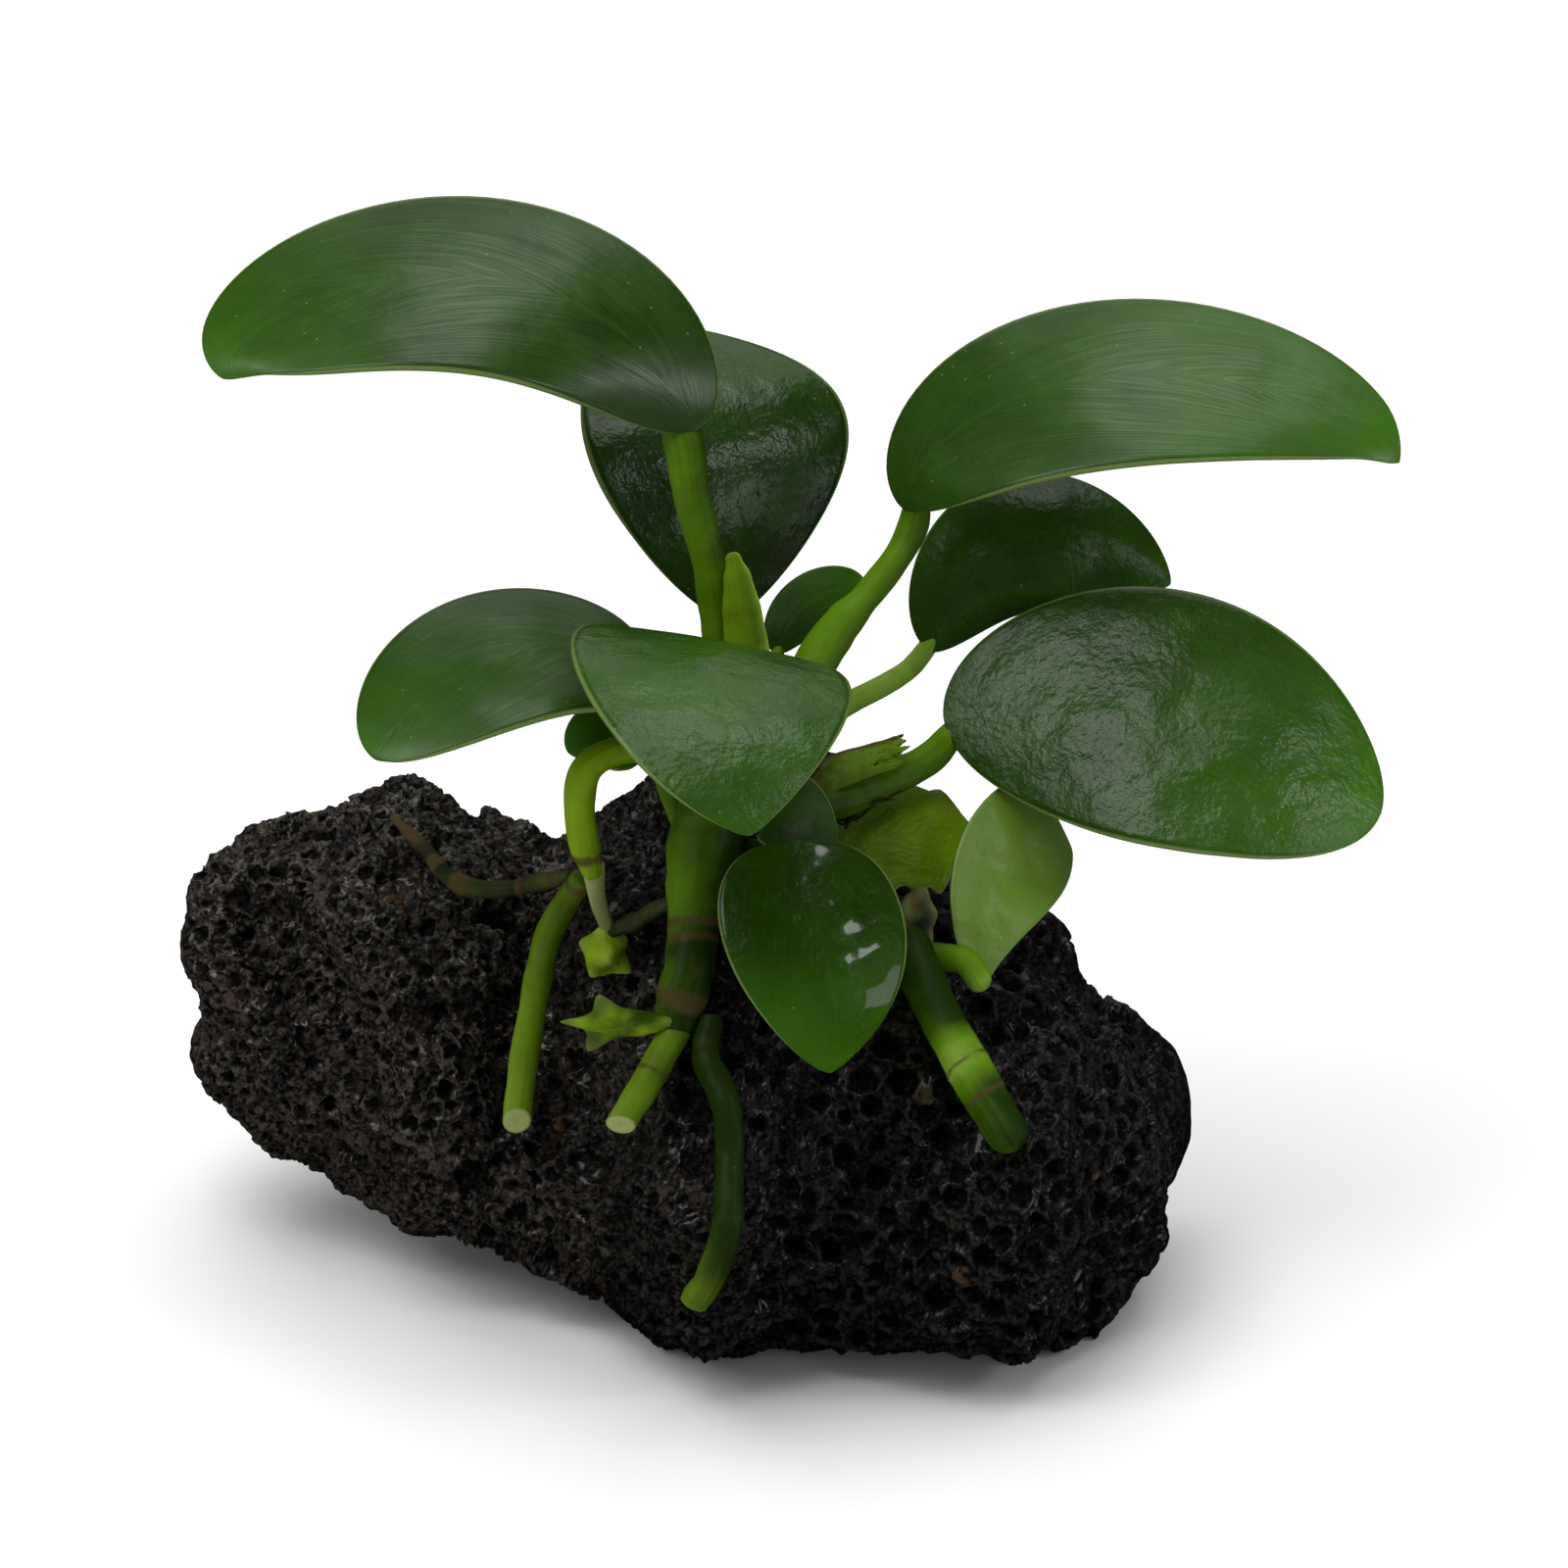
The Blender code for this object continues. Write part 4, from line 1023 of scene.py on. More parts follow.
def section_at(x):
    """The stone's cross-section at x, on smooth curves through the given ones."""
    last = len(SECTIONS) - 2
    i = next((k for k in range(last) if x < SECTIONS[k + 1].x), last)
    near, far = SECTIONS[i], SECTIONS[i + 1]
    before, after = SECTIONS[max(i - 1, 0)], SECTIONS[min(i + 2, last + 1)]
    span = far.x - near.x
    u = clamp((x - near.x) / span)
    values = []
    for a, b, c, d in zip(before[1:], near[1:], far[1:], after[1:]):
        slope_near = (c - a) / (far.x - before.x) * span
        slope_far = (d - b) / (after.x - near.x) * span
        values.append(
            (2 * u**3 - 3 * u**2 + 1) * b
            + (u**3 - 2 * u**2 + u) * slope_near
            + (3 * u**2 - 2 * u**3) * c
            + (u**3 - u**2) * slope_far
        )
    return Section(x, *values)


def stone_point(direction):
    """Where a unit direction from the middle of the stone meets its plain, unlumped form."""
    half_length = (STONE_RIGHT - STONE_LEFT) / 2
    section = section_at(STONE_LEFT + half_length * (1 + direction.x))
    y, z = direction.y, direction.z
    size = math.hypot(y, z)
    y, z = (y / size, z / size) if size > 1e-9 else (1.0, 0.0)
    stretch = (abs(y) ** STONE_SQUARENESS + abs(z) ** STONE_SQUARENESS) ** (-1 / STONE_SQUARENESS)
    y, z = y * stretch, z * stretch
    return Vector((
        section.x,
        (section.front + section.back) / 2 + y * (section.back - section.front) / 2
        + max(z, 0.0) * section.lean,
        (section.bottom + section.top) / 2 + z * (section.top - section.bottom) / 2,
    ))


def vertex_normals(mesh):
    mesh.update()
    normals = np.zeros(len(mesh.vertices) * 3)
    mesh.vertex_normals.foreach_get("vector", normals)
    return normals.reshape(-1, 3)


def raise_by(mesh, height):
    """Move every point along its normal by height(place), in millimetres."""
    normals = vertex_normals(mesh)
    for vertex, normal in zip(mesh.vertices, normals):
        vertex.co += Vector(normal) * height(vertex.co)


def small_pits():
    """Pits of mixed widths, scattered over the whole stone."""
    chance = random.Random(PIT_SEED)
    smallest, largest = SMALL_PIT_WIDTHS
    pits = []
    for _ in range(SMALL_PITS):
        width = smallest + (largest - smallest) * chance.random() ** 1.5
        along = chance.uniform(-SMALL_PIT_REACH, SMALL_PIT_REACH)
        way = Vector((along, chance.gauss(0, 1), chance.gauss(0, 1)))
        pits.append((stone_point(way), width, PIT_DEPTH * width))
    return pits


def scatter_pores(mesh, settings):
    """Small pores that crowd together, the widest first: frothy at the right, finer at the left."""
    chance = random.Random(PORE_SEED)
    low, high = settings.smallest_pore / MM, settings.largest_pore / MM
    shallow, deep = PORE_DEPTHS
    wishes = []
    for _ in range(settings.pores):
        place = tuple(mesh.vertices[chance.randrange(len(mesh.vertices))].co)
        froth = frothy(place)
        widest = high * (0.80 + 0.35 * froth)
        wishes.append((low + (widest - low) * chance.random() ** (2.8 - 1.0 * froth), place))
    pores, cells = [], {}
    for width, place in sorted(wishes, reverse=True):
        if not PORE_ENDS[0] < place[0] < PORE_ENDS[1]:
            continue
        place, cell = Vector(place), tuple(int(c // PORE_CELL) for c in place)
        near = [
            other
            for x in (-1, 0, 1) for y in (-1, 0, 1) for z in (-1, 0, 1)
            for other in cells.get((cell[0] + x, cell[1] + y, cell[2] + z), ())
        ]
        if all((place - other).length > PORE_SPACING * (width + size) for other, size in near):
            cells.setdefault(cell, []).append((place, width))
            depth = shallow + (deep - shallow) * chance.random()
            pores.append((place, width, depth * width * calm_end(place)))
    return pores


def frothy(place):
    """0 on the stone's dry left half, 1 on its bubbly right half."""
    return clamp((place[0] - FROTH_START) / FROTH_LENGTH)


def sink_pores(mesh, pores):
    """Press each pore in along the normal at its middle. Returns each point's painted shade and rim.
    """
    normals = vertex_normals(mesh)
    tree = kdtree.KDTree(len(mesh.vertices))
    for i, vertex in enumerate(mesh.vertices):
        tree.insert(vertex.co, i)
    tree.balance()
    sunk, dark, rims = (np.zeros(len(mesh.vertices)) for _ in range(3))
    inward = np.zeros((len(mesh.vertices), 3))
    for place, width, depth in pores:
        half = width / 2
        way = -normals[tree.find(place)[1]]
        # Narrow pores take more painted shade than wide hollows.
        narrow = clamp(1.10 - 0.13 * width, 0.45)
        ragged = 1 - 0.6 * frothy(place)
        for co, i, distance in tree.find_range(place, half * 1.5):
            uneven = 1 + (0.16 + 0.40 * ragged) * noise.noise(co * 1.3)
            uneven += 0.30 * noise.noise(co * 0.35)
            reach = distance / (half * uneven)
            if reach < 1.0:
                bowl = math.sqrt(1 - reach**2.4) if width < WIDE_PIT else 1 - reach**2
                amount = depth * bowl
                dark[i] = max(dark[i], min(1.0, amount / DARK_DEPTH) * narrow)
                if amount > sunk[i]:
                    sunk[i] = amount
                    inward[i] = way
            rim = math.exp(-(((reach - RIM_PLACE) / RIM_SPREAD) ** 2))
            rim *= min(RIM_LIMIT, RIM_SLOPE * width)
            rims[i] = max(rims[i], rim)
    for i, vertex in enumerate(mesh.vertices):
        if sunk[i] > 0:
            vertex.co += Vector(inward[i]) * sunk[i]
        else:
            vertex.co += Vector(normals[i]) * rims[i]
    return dark, rims


def stone_angle(u):
    """The grid's way round the section: closer together on the front and top than underneath."""
    return 2 * math.pi * (u + 0.055 * math.sin(2 * math.pi * (u + 0.375)))


class ANUBIAS_OT_stone(bpy.types.Operator):
    """Build the porous lava stone"""

    bl_idname = "anubias.stone"
    bl_label = "Lava stone"

    def execute(self, context):
        settings = context.scene.anubias_stone

        def place(u, v):
            angle = stone_angle(u)
            tilt = math.acos(0.35 * math.cos(math.pi * v) + 0.65 * (1 - 2 * v))
            direction = Vector((
                -math.cos(tilt), -math.sin(tilt) * math.cos(angle), math.sin(tilt) * math.sin(angle)
            ))
            return stone_point(direction), {}

        stone = grid_piece("lava", *STONE_GRID, place, closed=True)
        mesh = stone.data
        mesh.transform(Matrix.Scale(1 / MM, 4))
        for width, height in LUMPS:
            raise_by(mesh, lambda co: noise.noise(co / width) * 2 * height * calm_end(co))
        pits = [
            (place, width, DRAWN_DEPTH * depth * calm_end(place))
            for place, width, depth in small_pits()
        ]
        wide, _ = sink_pores(mesh, pits + HOLLOWS)
        raise_by(mesh, rough_skin)
        small, rims = sink_pores(mesh, scatter_pores(mesh, settings))
        mesh.transform(Matrix.Scale(MM, 4))
        with editing(stone):
            bpy.ops.mesh.vertices_smooth(factor=0.25, repeat=1)
        # cavity carries the pores' painted shade, rim the rims' painted highlight.
        for mark, values in (("cavity", np.maximum(wide, small)), ("rim", rims / RIM)):
            attribute = mesh.attributes.new(mark, "FLOAT", "POINT")
            attribute.data.foreach_set("value", np.clip(values, 0, 1))
        for vertex in mesh.vertices:
            vertex.co.z = max(vertex.co.z, 0.0)
        stone_material(settings)
        for piece in split_along(stone, STONE_PIECES):
            finish(piece, "lava", "stone", "stone")
        return {"FINISHED"}


def face_places(mesh):
    """The X of the middle of each face."""
    middles = np.empty(len(mesh.polygons) * 3)
    mesh.polygons.foreach_get("center", middles)
    return middles[::3]


def split_along(piece, shares):
    """Part a dense mesh into pieces with as many faces each, along X."""
    cuts = np.quantile(face_places(piece.data), [k / shares for k in range(1, shares)])
    pieces = []
    for cut in cuts:
        near = face_places(piece.data) < cut
        with editing(piece, "DESELECT"):
            bpy.ops.mesh.select_mode(type="FACE")
        piece.data.polygons.foreach_set("select", near)
        bpy.ops.object.mode_set(mode="EDIT")
        bpy.ops.mesh.separate(type="SELECTED")
        bpy.ops.mesh.select_mode(type="VERT")
        bpy.ops.object.mode_set(mode="OBJECT")
        pieces.append(next(thing for thing in bpy.context.selected_objects if thing is not piece))
    pieces.append(piece)
    for k, part in enumerate(pieces):
        part.name = part.data.name = f"lava_{k + 1}"
    return pieces


def calm_end(co):
    """1 over the stone and less at its tips, where the grid's points are crowded."""
    from_left, from_right = co[0] - STONE_LEFT + 0.5, STONE_RIGHT + 0.5 - co[0]
    return clamp(min(from_right / 6.0, from_left / 3.0), 0.25)


def rough_skin(co):
    """The ragged skin between the pores, raggeder towards the dry left end."""
    ragged = (ROUGH_RIGHT + ROUGH_ADDED * (1 - frothy(co))) * calm_end(co)
    fine = 0.6 * noise.noise(co * 0.42) + noise.noise(co * 0.95) + 0.7 * noise.noise(co * 1.9)
    crease = 0.4 - 1.6 * abs(noise.noise(Vector((0.25 * co.x, 0.4 * co.y, 0.55 * co.z))))
    return ragged * (fine + crease - 0.3)


# ------------------------------------------------------------------------------- leaves and stems


def blade_point(leaf, t, s):
    """The upper surface at t along the midrib (0 to 1) and s across (-1 to 1)."""
    base, rise, droop, tip = (Vector(place) for place in leaf[:4])
    r = 1 - t
    middle = base * r**3 + rise * (3 * t * r**2) + droop * (3 * t**2 * r) + tip * t**3
    along = (rise - base) * r**2 + (droop - rise) * (2 * t * r) + (tip - droop) * t**2
    along.normalize()
    turn, lift = math.radians(leaf.turn), math.radians(leaf.lift)
    face = Vector((
        math.sin(turn) * math.cos(lift), -math.cos(turn) * math.cos(lift), math.sin(lift)
    ))
    face = (face - along * face.dot(along)).normalized()
    face = Matrix.Rotation(math.radians(leaf.twist) * (t - 0.5), 3, along) @ face
    side = along.cross(face)

    widest = leaf.shoulder / (leaf.shoulder + leaf.point)
    outline = (max(t, 0.0) ** leaf.shoulder * max(r, 0.0) ** leaf.point) / (
        widest**leaf.shoulder * (1 - widest) ** leaf.point
    )
    half_width = leaf.width / 2 * outline
    fold, cup, reach = math.radians(leaf.fold), math.radians(leaf.cup), abs(s)
    out = (math.sin(fold) - math.sin(fold - cup)) / cup * reach
    edge = (math.cos(fold - cup) - math.cos(fold)) / cup
    crown = max(edge + BLADE_CROWN, 0.0)
    up = crown + (edge - crown) * reach**2
    length = (tip - base).length
    back = leaf.lobe * length * reach**2 * r**3 * min(outline, 1.0)
    across = side * (math.copysign(out, s) * half_width)
    return middle + across + face * (up * half_width) - along * back, face


def make_blade(name, thickness):
    """A blade with soft waves, a sunk midrib and a body that thins out to its margin."""
    leaf, look = LEAVES[name], LOOKS[name]

    def place(u, v):
        t, s = 0.5 - 0.5 * math.cos(math.pi * v), 2 * u - 1
        torn = look.ragged * noise.noise(Vector((7.0 * t, 3.0 * math.copysign(1.0, s), 0.0)))
        co, face = blade_point(leaf, t, s * (1 + 2 * torn * abs(s)))
        # The blade's lightness, partly painted shade, runs from its base to its tip.
        run = clamp((t - 0.1) / 0.8)
        shade = look.base + (look.tip - look.base) * run * run
        shade += PALER * clamp((t - PALE_START) / PALE_LENGTH)
        inner = min(t, 1 - t) * 4
        calm = min(1.0, inner) * (1 - abs(s) ** 4)
        wave = look.curl * sum(height * noise.noise(co * close) for height, close in WAVES)
        wave += look.crinkle * CRINKLES[0] * noise.noise(co * CRINKLES[1])
        co = co + Vector(look.drawn) * max(0.0, (t - POINT_START) / (1 - POINT_START)) ** 2
        groove, swelling = (
            height * math.exp(-((s / width) ** 2)) for height, width in (RIB_GROOVE, RIB_SWELLING)
        )
        body = clamp(min((1 - abs(s)) * 5, inner * 2.5 + 0.3), 0.30)
        height = calm * (wave - (groove - swelling)) - BLADE_SINK
        return co + face * height, {"body": body, "shade": shade}

    blade = grid_piece(f"blade_{name}", *look.grid, place)
    thicken(blade, thickness)
    return blade


def thicken(piece, thickness):
    """Merge a sheet's doubled points and give it a body, thinner where its body value is low."""
    group = piece.vertex_groups.new(name="body")
    for vertex, value in zip(piece.data.vertices, piece.data.attributes["body"].data):
        group.add([vertex.index], value.value, "REPLACE")
    piece.data.attributes.remove(piece.data.attributes["body"])
    with editing(piece):
        bpy.ops.mesh.remove_doubles(threshold=DOUBLED)
    shell = piece.modifiers.new("body", "SOLIDIFY")
    shell.thickness = thickness
    shell.offset = -1.0
    shell.vertex_group = "body"
    bpy.ops.object.modifier_apply(modifier=shell.name)


def make_sheath(name, sheath, along, across):
    """A thin skin between two edges, torn at its far end."""
    lower, upper = (
        [co for co, _ in smooth_route(edge, [1.0] * len(edge))]
        for edge in (sheath.lower, sheath.upper)
    )

    def place(u, v):
        teeth = noise.noise(Vector((5.0 * u, 2.0, 0.0)))
        teeth += 0.5 * noise.noise(Vector((15.0 * u, 5.0, 0.0)))
        v = v * (1 - sheath.ragged * max(0.0, 0.45 + teeth) * v)
        a, b = lower[round(v * (len(lower) - 1))], upper[round(v * (len(upper) - 1))]
        bulge = 1.2 * math.sin(math.pi * min(1.0, 0.3 + 0.7 * u))
        co = a.lerp(b, u) + Vector(sheath.out) * bulge
        crease = 0.16 * noise.noise(co * 1.3)
        brown = clamp((u - 0.78) / 0.15) + clamp((0.22 - v) / 0.10)
        return co + Vector(sheath.out) * crease, {
            "body": 1.0, "ring": min(1.0, brown), "cut": 0.0, "tone": 0.45 * v + 0.15,
        }

    piece = grid_piece(name, along, across, place)
    thicken(piece, SHEATH_THICKNESS)
    return piece


def smooth_route(route, radii, spacing=0.35):
    """Close points and radii on a smooth curve through the route."""
    places = [Vector(place) for place in route]
    result = []
    for i in range(len(places) - 1):
        a, b = places[i], places[i + 1]
        before = places[i - 1] if i else a - (b - a)
        after = places[i + 2] if i + 2 < len(places) else b + (b - a)
        length = (b - a).length
        ahead = (b - a) / length
        slope_a = (ahead + (a - before) / max((a - before).length, 1e-6)).normalized() * length
        slope_b = ((after - b) / max((after - b).length, 1e-6) + ahead).normalized() * length
        steps = max(2, round(length / spacing))
        for k in range(steps + (i == len(places) - 2)):
            u = k / steps
            co = (
                a * (2 * u**3 - 3 * u**2 + 1) + slope_a * (u**3 - 2 * u**2 + u)
                + b * (3 * u**2 - 2 * u**3) + slope_b * (u**3 - u**2)
            )
            ease = u * u * (3 - 2 * u)
            result.append((co, radii[i] + (radii[i + 1] - radii[i]) * ease))
    return result


def tone_at(tones, share):
    """The tone at a share of the way along, between the given ones."""
    if len(tones) == 1:
        return tones[0]
    run = share * (len(tones) - 1)
    k = min(int(run), len(tones) - 2)
    return tones[k] + (tones[k + 1] - tones[k]) * (run - k)


def end_form(over, under, cut):
    """How much a tube's radius shrinks and how far it is pushed out, over its far or near end."""
    if under:
        return math.cos(math.pi / 2 * under), -0.4 * math.sin(math.pi / 2 * under)
    if over and cut is None:
        return math.cos(math.pi / 2 * over), 0.9 * math.sin(math.pi / 2 * over)
    if over:
        shrink = 0.0 if over == 1 else min(1.0, 1.12 * (1 - over) + 0.06)
        return shrink, 0.10 * min(1.0, 3 * over) - 0.08 * over
    return 1.0, 0.0


def make_tube(
    name, route, radii, around=20, scars=(), tones=(0.6,), groove=0.0, cut=None, flat=0.0,
    knobs=1.0, pale_edge=0.0,
):
    """A round stem on a smooth route. A cut end is flat, pale and leans by cut; others are domed."""
    line = smooth_route(route, radii)
    along = [(b[0] - a[0]).normalized() for a, b in zip(line, line[1:])]
    along.append(along[-1])
    ways = [along[0].cross(Vector((0, 1, 0))).normalized()]
    for way in along[1:]:
        last = ways[-1]
        ways.append((last - way * last.dot(way)).normalized())
    travelled = [0.0]
    for a, b in zip(line, line[1:]):
        travelled.append(travelled[-1] + (b[0] - a[0]).length)
    total = travelled[-1]
    caps = 6  # the rows that close each end
    last_row = len(line) + 2 * caps - 1

    def place(u, v):
        row = round(v * last_row)
        i = clamp(row - caps, 0, len(line) - 1)
        centre, radius = line[i]
        way, ahead = ways[i], along[i]
        side = ahead.cross(way)
        angle = 2 * math.pi * u
        over = max(row - caps - len(line) + 1, 0) / caps
        shrink, push = end_form(over, max(caps - row, 0) / caps, cut)
        ring, swell = 0.0, 0.0
        for spot, width, height in scars:
            bend = 0.12 * math.cos(angle + 9 * spot) * radius
            bell = math.exp(-(((travelled[i] + bend - spot * total) / width) ** 2))
            ring = max(ring, bell)
            swell += height * bell
        out = way * math.cos(angle) + side * (math.sin(angle) * (1 - flat))
        bumps = 0.05 * noise.noise(centre * 0.35)
        bumps = knobs * (bumps + 0.035 * noise.noise((centre + out * radius) * 0.7))
        channel = groove * math.exp(-(((angle - GROOVE_ANGLE) / GROOVE_SPREAD) ** 2))
        size = radius * shrink * (1 + swell + bumps - channel)
        co = centre + out * size + ahead * (push * radius)
        if cut is not None:
            lean = clamp(1 - (total - travelled[i]) / (2.5 * radius))
            co += ahead * (out.dot(Vector(cut)) * size * lean)
        # Painted shade: darker on the right side, which faces away from the light, and down the
        # groove.
        tone = tone_at(tones, travelled[i] / total) - (0.30 * out.x + 0.8 * channel)
        tone += pale_edge * max(0.0, out.x) ** 8
        pale = 0.0
        if cut is not None and over:
            pale = 1.0 if 0.25 < over < 0.85 else 0.6
            ring = 1.0 if over <= 0.25 else 0.0
        return co, {"ring": ring, "cut": pale, "tone": tone}

    return grid_piece(name, last_row, around, place, closed=True)


def laid(route, radii, stone):
    """The same route with closer points, each held clear of the stone's surface."""
    places, sizes = [], []
    for a, b, size_a, size_b in zip(route, route[1:], radii, radii[1:]):
        a, b = Vector(a), Vector(b)
        steps = max(1, round((b - a).length / LAID_STEP))
        places += [a.lerp(b, k / steps) for k in range(steps)]
        sizes += [size_a + (size_b - size_a) * k / steps for k in range(steps)]
    places.append(Vector(route[-1]))
    sizes.append(radii[-1])
    lifts = []
    for place, size in zip(places, sizes):
        lift = 0.0
        while room(place + LAID_WAY * lift, stone) < size + 3 * GAP:
            lift += LAID_RISE
        lifts.append(lift)
    for _ in range(4):
        middles = [(a + b) / 2 for a, b in zip(lifts, lifts[2:])]
        lifts[1:-1] = [max(lift, middle) for lift, middle in zip(lifts[1:-1], middles)]
    return [place + LAID_WAY * lift for place, lift in zip(places, lifts)], sizes


def room(place, stone):
    """How far a place is outside the stone, or below 0 how far inside it."""
    nearest, normal, _, distance = stone.find_nearest(place)
    return distance if (place - nearest).dot(normal) > 0 else -distance


class ANUBIAS_OT_leaves(bpy.types.Operator):
    """Build the leaf blades"""

    bl_idname = "anubias.leaves"
    bl_label = "Leaf blades"

    def execute(self, context):
        settings = context.scene.anubias_leaf
        dark, bright = tuple(settings.dark), tuple(settings.bright)
        young, margin = tuple(settings.young), tuple(settings.margin)
        yellow, veins = tuple(settings.yellow), settings.veins
        pale = tuple(1.3 * c for c in margin)
        grown = (dark, bright, margin, veins)
        leaf_material(
            "smooth leaf", *grown, roughness=0.36, wrinkled=0.18, coat=0.55, shine=0.22,
            streaky=0.75,
        )
        leaf_material("leathery leaf", *grown, roughness=0.27, wrinkled=0.50)
        leaf_material(
            "glossy leaf", *grown, roughness=0.24, wrinkled=0.75, coat=0.5, shine=0.12, soft=0.09
        )
        leaf_material("small leaf", *grown, roughness=0.36, wrinkled=0.25, shine=0.2)
        leaf_material(
            "young leaf", tuple(0.4 * c for c in young), young, pale, veins, roughness=0.36,
            wrinkled=0.30,
        )
        leaf_material(
            "yellow leaf", tuple(0.3 * c for c in yellow), yellow, pale, veins, roughness=0.45,
            wrinkled=0.80, shine=0.15, mottled=0.55,
        )
        for name in LEAVES:
            blade = make_blade(name, settings.thickness)
            finish(blade, LOOKS[name].finish, LOOKS[name].slot, f"leaf_{name}")
        return {"FINISHED"}


class ANUBIAS_OT_stalks(bpy.types.Operator):
    """Build the stalks that carry the leaves"""

    bl_idname = "anubias.stalks"
    bl_label = "Stalks"

    def execute(self, context):
        for name, stalk in STALKS.items():
            route, radii = [Vector(place) for place in stalk.route], list(stalk.radii)
            route[0] -= (route[1] - route[0]).normalized() * ROOTED
            if stalk.seated:
                seat, face = blade_point(LEAVES[name], SEAT, 0.0)
                radii.append(SEAT_NARROWING * radii[-1])
                route.append(seat - face * (SEAT_DEPTH * radii[-1]))
            groove = GROOVE if stalk.grooved else 0.0
            tube = make_tube(f"petiole_{name}", route, radii, tones=stalk.tones, groove=groove)
            finish(tube, "stalk", "stem_green", f"stalk_{name}")
        return {"FINISHED"}


class ANUBIAS_OT_stems(bpy.types.Operator):
    """Build the thick stem, the shoots and the roots"""

    bl_idname = "anubias.stems"
    bl_label = "Stems and roots"

    def execute(self, context):
        mesh = bpy.data.objects["stone"].data
        stone = BVHTree.FromPolygons(
            [vertex.co / MM for vertex in mesh.vertices], [face.vertices for face in mesh.polygons]
        )
        for name, tube in TUBES.items():
            route, radii = tube.route, tube.radii
            if tube.laid:
                route, radii = laid(route, radii, stone)
            route = [Vector(place) for place in route]
            route[0] -= (route[1] - route[0]).normalized() * tube.back
            piece = make_tube(
                f"{name}_skin", route, radii,
                THICK_ROUND if max(radii) > THICK_STEM else THIN_ROUND, tube.scars, tube.tones,
                cut=tube.cut, flat=tube.flat, knobs=tube.knobs, pale_edge=tube.pale_edge,
            )
            finish(piece, tube.finish, tube.slot, name)
        return {"FINISHED"}


class ANUBIAS_OT_buds(bpy.types.Operator):
    """Build the bud, the star-shaped bract and the torn sheath"""

    bl_idname = "anubias.buds"
    bl_label = "Bud, bract and sheath"

    def execute(self, context):
        for name, bud in BUDS.items():

            def place(u, v, bud=bud):
                angle, tilt = 2 * math.pi * u, math.pi * v
                flat = math.sin(tilt)
                way = Vector((flat * math.cos(angle), math.cos(tilt), flat * math.sin(angle)))
                reach = Vector(a * b for a, b in zip(way, bud.half_sizes))
                tip = 0.0
                for point, length, sharpness in bud.points:
                    point = Vector(point).normalized()
                    share = max(0.0, way.dot(point)) ** sharpness
                    reach += point * (length * share)
                    tip = max(tip, share)
                co = Vector(bud.place) + reach
                crease = 0.16 * noise.noise(co * 0.9) + 0.10 * noise.noise(co * 2.0)
                return co + way * crease * (1 - tip), {
                    "ring": clamp(bud.worn + noise.noise(co * 0.6) * 0.9), "cut": 0.30 * tip,
                    "tone": bud.base_tone + 0.9 * noise.noise(co * 0.5),
                }

            piece = grid_piece(f"{name}_skin", *BUD_GRID, place, closed=True)
            finish(piece, bud.finish, bud.slot, bud.node or name)
        sheath = make_sheath("sheath_skin", TORN_SHEATH, *SHEATH_GRID)
        finish(sheath, "sheath", "sheath_yellow", "torn_sheath")
        for i, (start, end) in enumerate(FIBRES):
            start, end = Vector(start), Vector(end)
            bow = Vector((0.3 * math.sin(5.0 * i), -0.4, 0.5 * math.cos(3.0 * i)))
            route = [start, start.lerp(end, 0.35) + bow, start.lerp(end, 0.7) - bow * 0.6, end]
            fibre = make_tube(f"fibre_{i + 1}", route, FIBRE_RADII, FIBRE_ROUND, tones=(-0.1,))
            finish(fibre, "brown root", "root_brown")
        return {"FINISHED"}


# -------------------------------------------------------------------------------------- the studio


class ANUBIAS_OT_studio(bpy.types.Operator):
    """Set up the floor, the light and the camera"""

    bl_idname = "anubias.studio"
    bl_label = "Studio"

    def execute(self, context):
        settings = context.scene.anubias_studio
        deselect()
        bpy.ops.mesh.primitive_plane_add(size=8.0, location=(0, 0, -0.0001))
        floor = context.object
        floor.name = "floor"
        _, shader = new_material("floor", 0.9, Specular_IOR_Level=0.1)
        shader.inputs["Base Color"].default_value = (*settings.floor, 1.0)
        floor.data.materials.append(bpy.data.materials["floor"])
        floor.visible_glossy = False

        world = context.scene.world or bpy.data.worlds.new("studio")
        context.scene.world = world
        world.use_nodes = True
        sky = world.node_tree.nodes["Background"]
        sky.inputs["Color"].default_value = (1.0, 1.0, 1.0, 1.0)
        sky.inputs["Strength"].default_value = SKY_STRENGTH
        world.cycles_visibility.glossy = False

        target = Vector(TARGET) * MM
        tilt = [math.radians(angle) for angle in KEY_TILT]
        bpy.ops.object.light_add(type="SUN", rotation=tilt)
        key = context.object
        key.name = "broad soft light above"
        key.data.angle = math.radians(KEY_SPREAD)
        key.data.energy = KEY_STRENGTH
        key.visible_glossy = False
        for panel in PANELS:
            way = Vector(panel.way).normalized()
            bpy.ops.object.light_add(type="AREA", location=target + way * (panel.distance * MM))
            light = context.object
            light.name = panel.name
            light.data.shape = "RECTANGLE"
            light.data.size, light.data.size_y = (side * MM for side in panel.size)
            light.data.energy = panel.glow * math.pi * light.data.size * light.data.size_y
            across = (Vector(panel.along) - way * way.dot(Vector(panel.along))).normalized()
            light.rotation_euler = Matrix((across, way.cross(across), way)).transposed().to_euler()
            light.visible_diffuse = panel.lights
            light.visible_camera = False

        back = Vector((0.0, -math.cos(settings.elevation), math.sin(settings.elevation)))
        bpy.ops.object.camera_add(location=target + back * settings.distance)
        camera = context.object
        camera.data.lens = settings.lens
        camera.data.sensor_width = 36.0
        camera.rotation_euler = (-back).to_track_quat("-Z", "Y").to_euler()
        context.scene.camera = camera
        context.scene.view_settings.view_transform = "Standard"
        return {"FINISHED"}


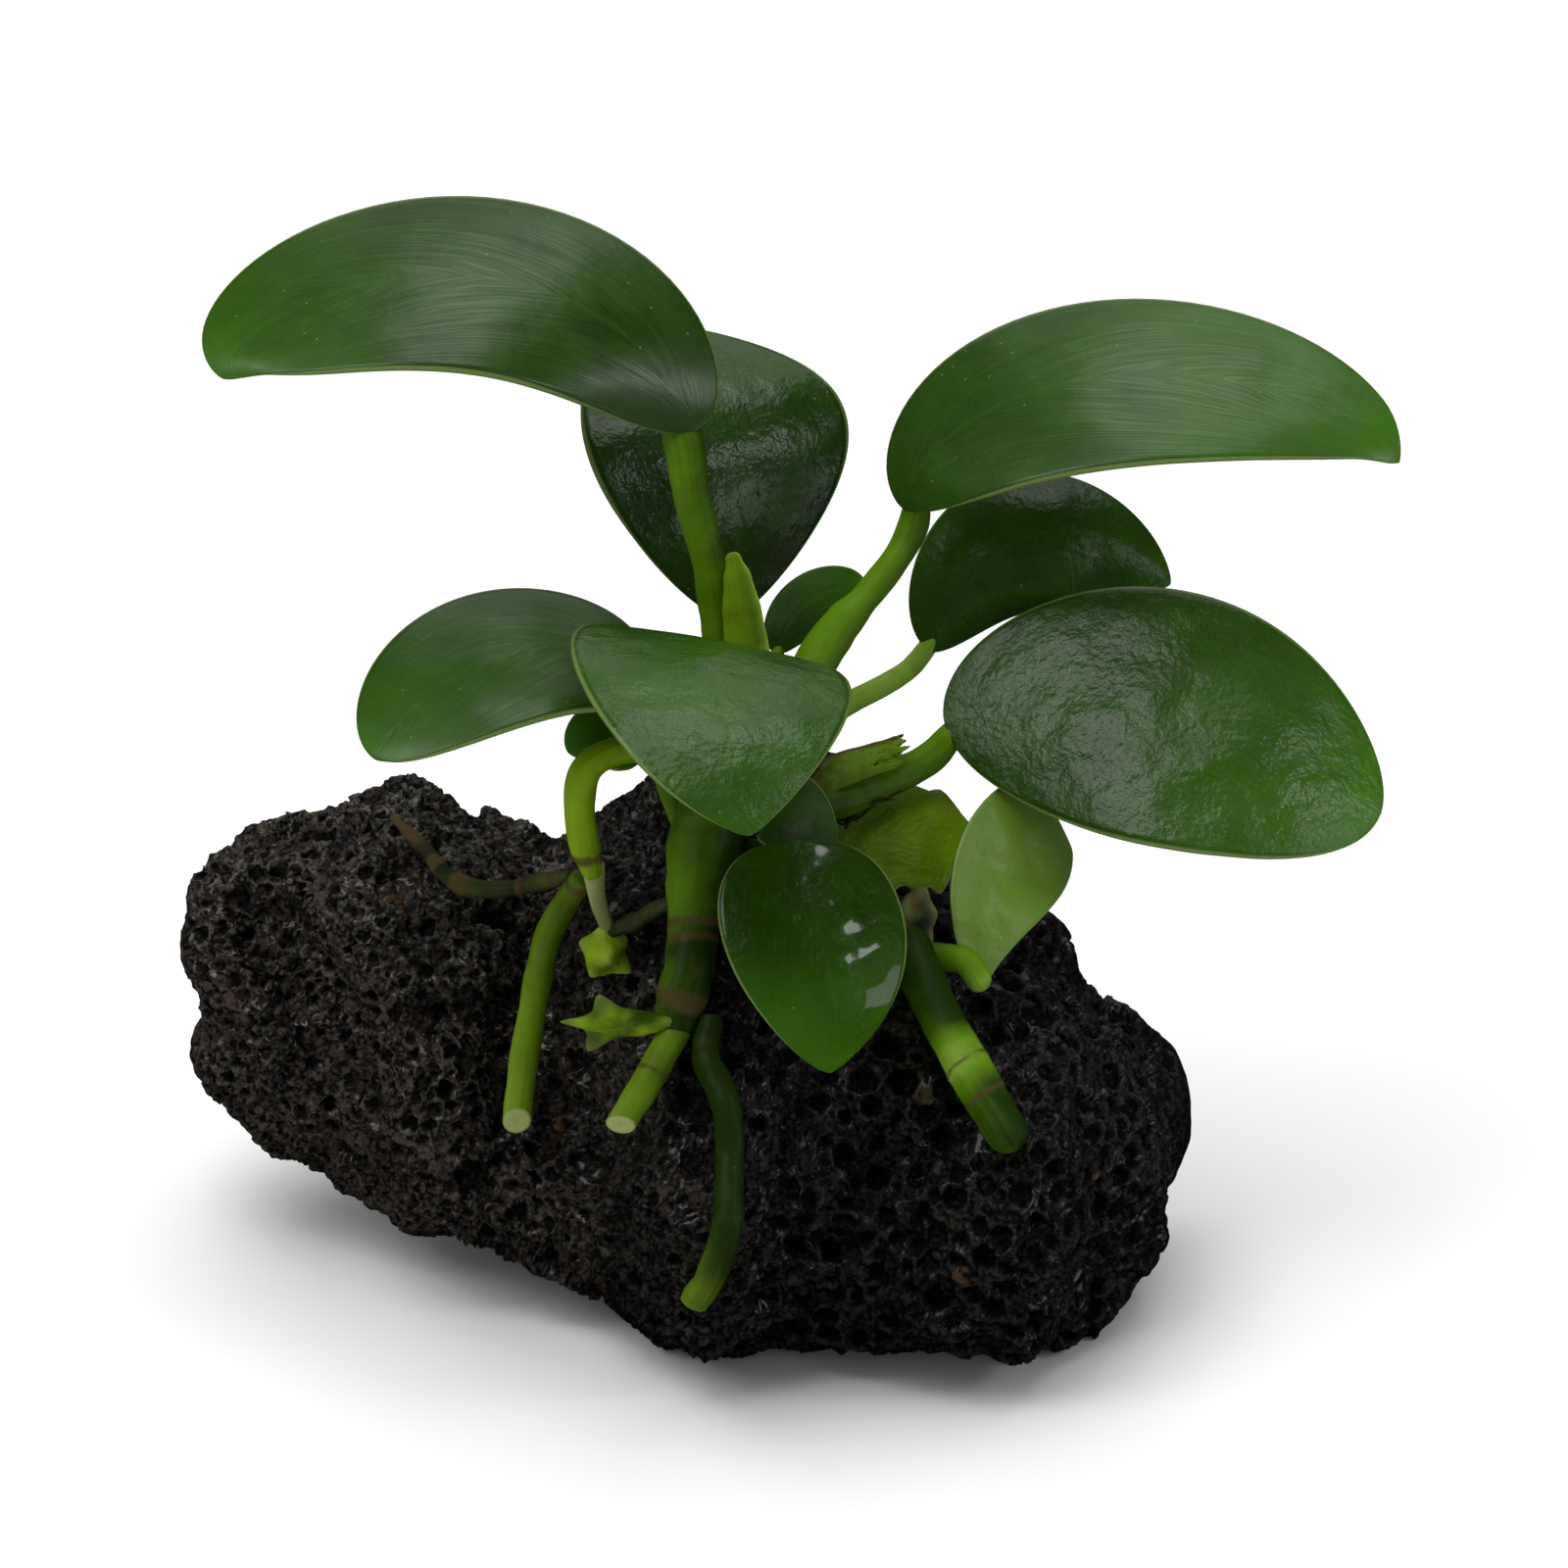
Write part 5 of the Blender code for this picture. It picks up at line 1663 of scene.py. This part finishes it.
class ANUBIAS_OT_finishes(bpy.types.Operator):
    """Make the shared patterns and the stems' finishes"""

    bl_idname = "anubias.finishes"
    bl_label = "Finishes"

    def execute(self, context):
        make_vein_group()
        make_speck_group()
        make_pore_group()
        stem = context.scene.anubias_stem
        brown, cut = tuple(stem.brown), tuple(stem.cut)
        fleshy = {"stalk": stem.green, "shoot": stem.light, "sheath": stem.sheath, "root": stem.root}
        for name, colour in fleshy.items():
            stem_material(name, tuple(colour), brown, cut)
        stem_material("brown root", tuple(stem.bark), brown, cut, 0.6)
        stem_material("dry bract", tuple(0.5 * c for c in cut), brown, cut)
        return {"FINISHED"}


class ANUBIAS_PT_panel(bpy.types.Panel):
    """The plant's parts, in the 3D view's sidebar"""

    bl_idname = "ANUBIAS_PT_panel"
    bl_label = "Anubias on stone"
    bl_space_type = "VIEW_3D"
    bl_region_type = "UI"
    bl_category = "Anubias"

    def draw(self, context):
        for operator in OPERATORS:
            self.layout.operator(operator.bl_idname)
        for group in SETTINGS:
            box = self.layout.box()
            settings = getattr(context.scene, group)
            for name in settings.__annotations__:
                box.prop(settings, name)


OPERATORS = (
    ANUBIAS_OT_finishes,
    ANUBIAS_OT_stone,
    ANUBIAS_OT_leaves,
    ANUBIAS_OT_stalks,
    ANUBIAS_OT_stems,
    ANUBIAS_OT_buds,
    ANUBIAS_OT_studio,
)
SETTINGS = {
    "anubias_stone": StoneSettings,
    "anubias_leaf": LeafSettings,
    "anubias_stem": StemSettings,
    "anubias_studio": StudioSettings,
}


def register():
    for thing in (*SETTINGS.values(), *OPERATORS, ANUBIAS_PT_panel):
        bpy.utils.register_class(thing)
    for name, group in SETTINGS.items():
        setattr(bpy.types.Scene, name, bpy.props.PointerProperty(type=group))


def unregister():
    for name in SETTINGS:
        delattr(bpy.types.Scene, name)
    for thing in (ANUBIAS_PT_panel, *reversed(OPERATORS), *SETTINGS.values()):
        bpy.utils.unregister_class(thing)


def main():
    register()
    bpy.ops.anubias.finishes()
    bpy.ops.anubias.stone()
    bpy.ops.anubias.leaves()
    bpy.ops.anubias.stalks()
    bpy.ops.anubias.stems()
    bpy.ops.anubias.buds()
    bpy.ops.anubias.studio()


if __name__ == "__main__":
    main()
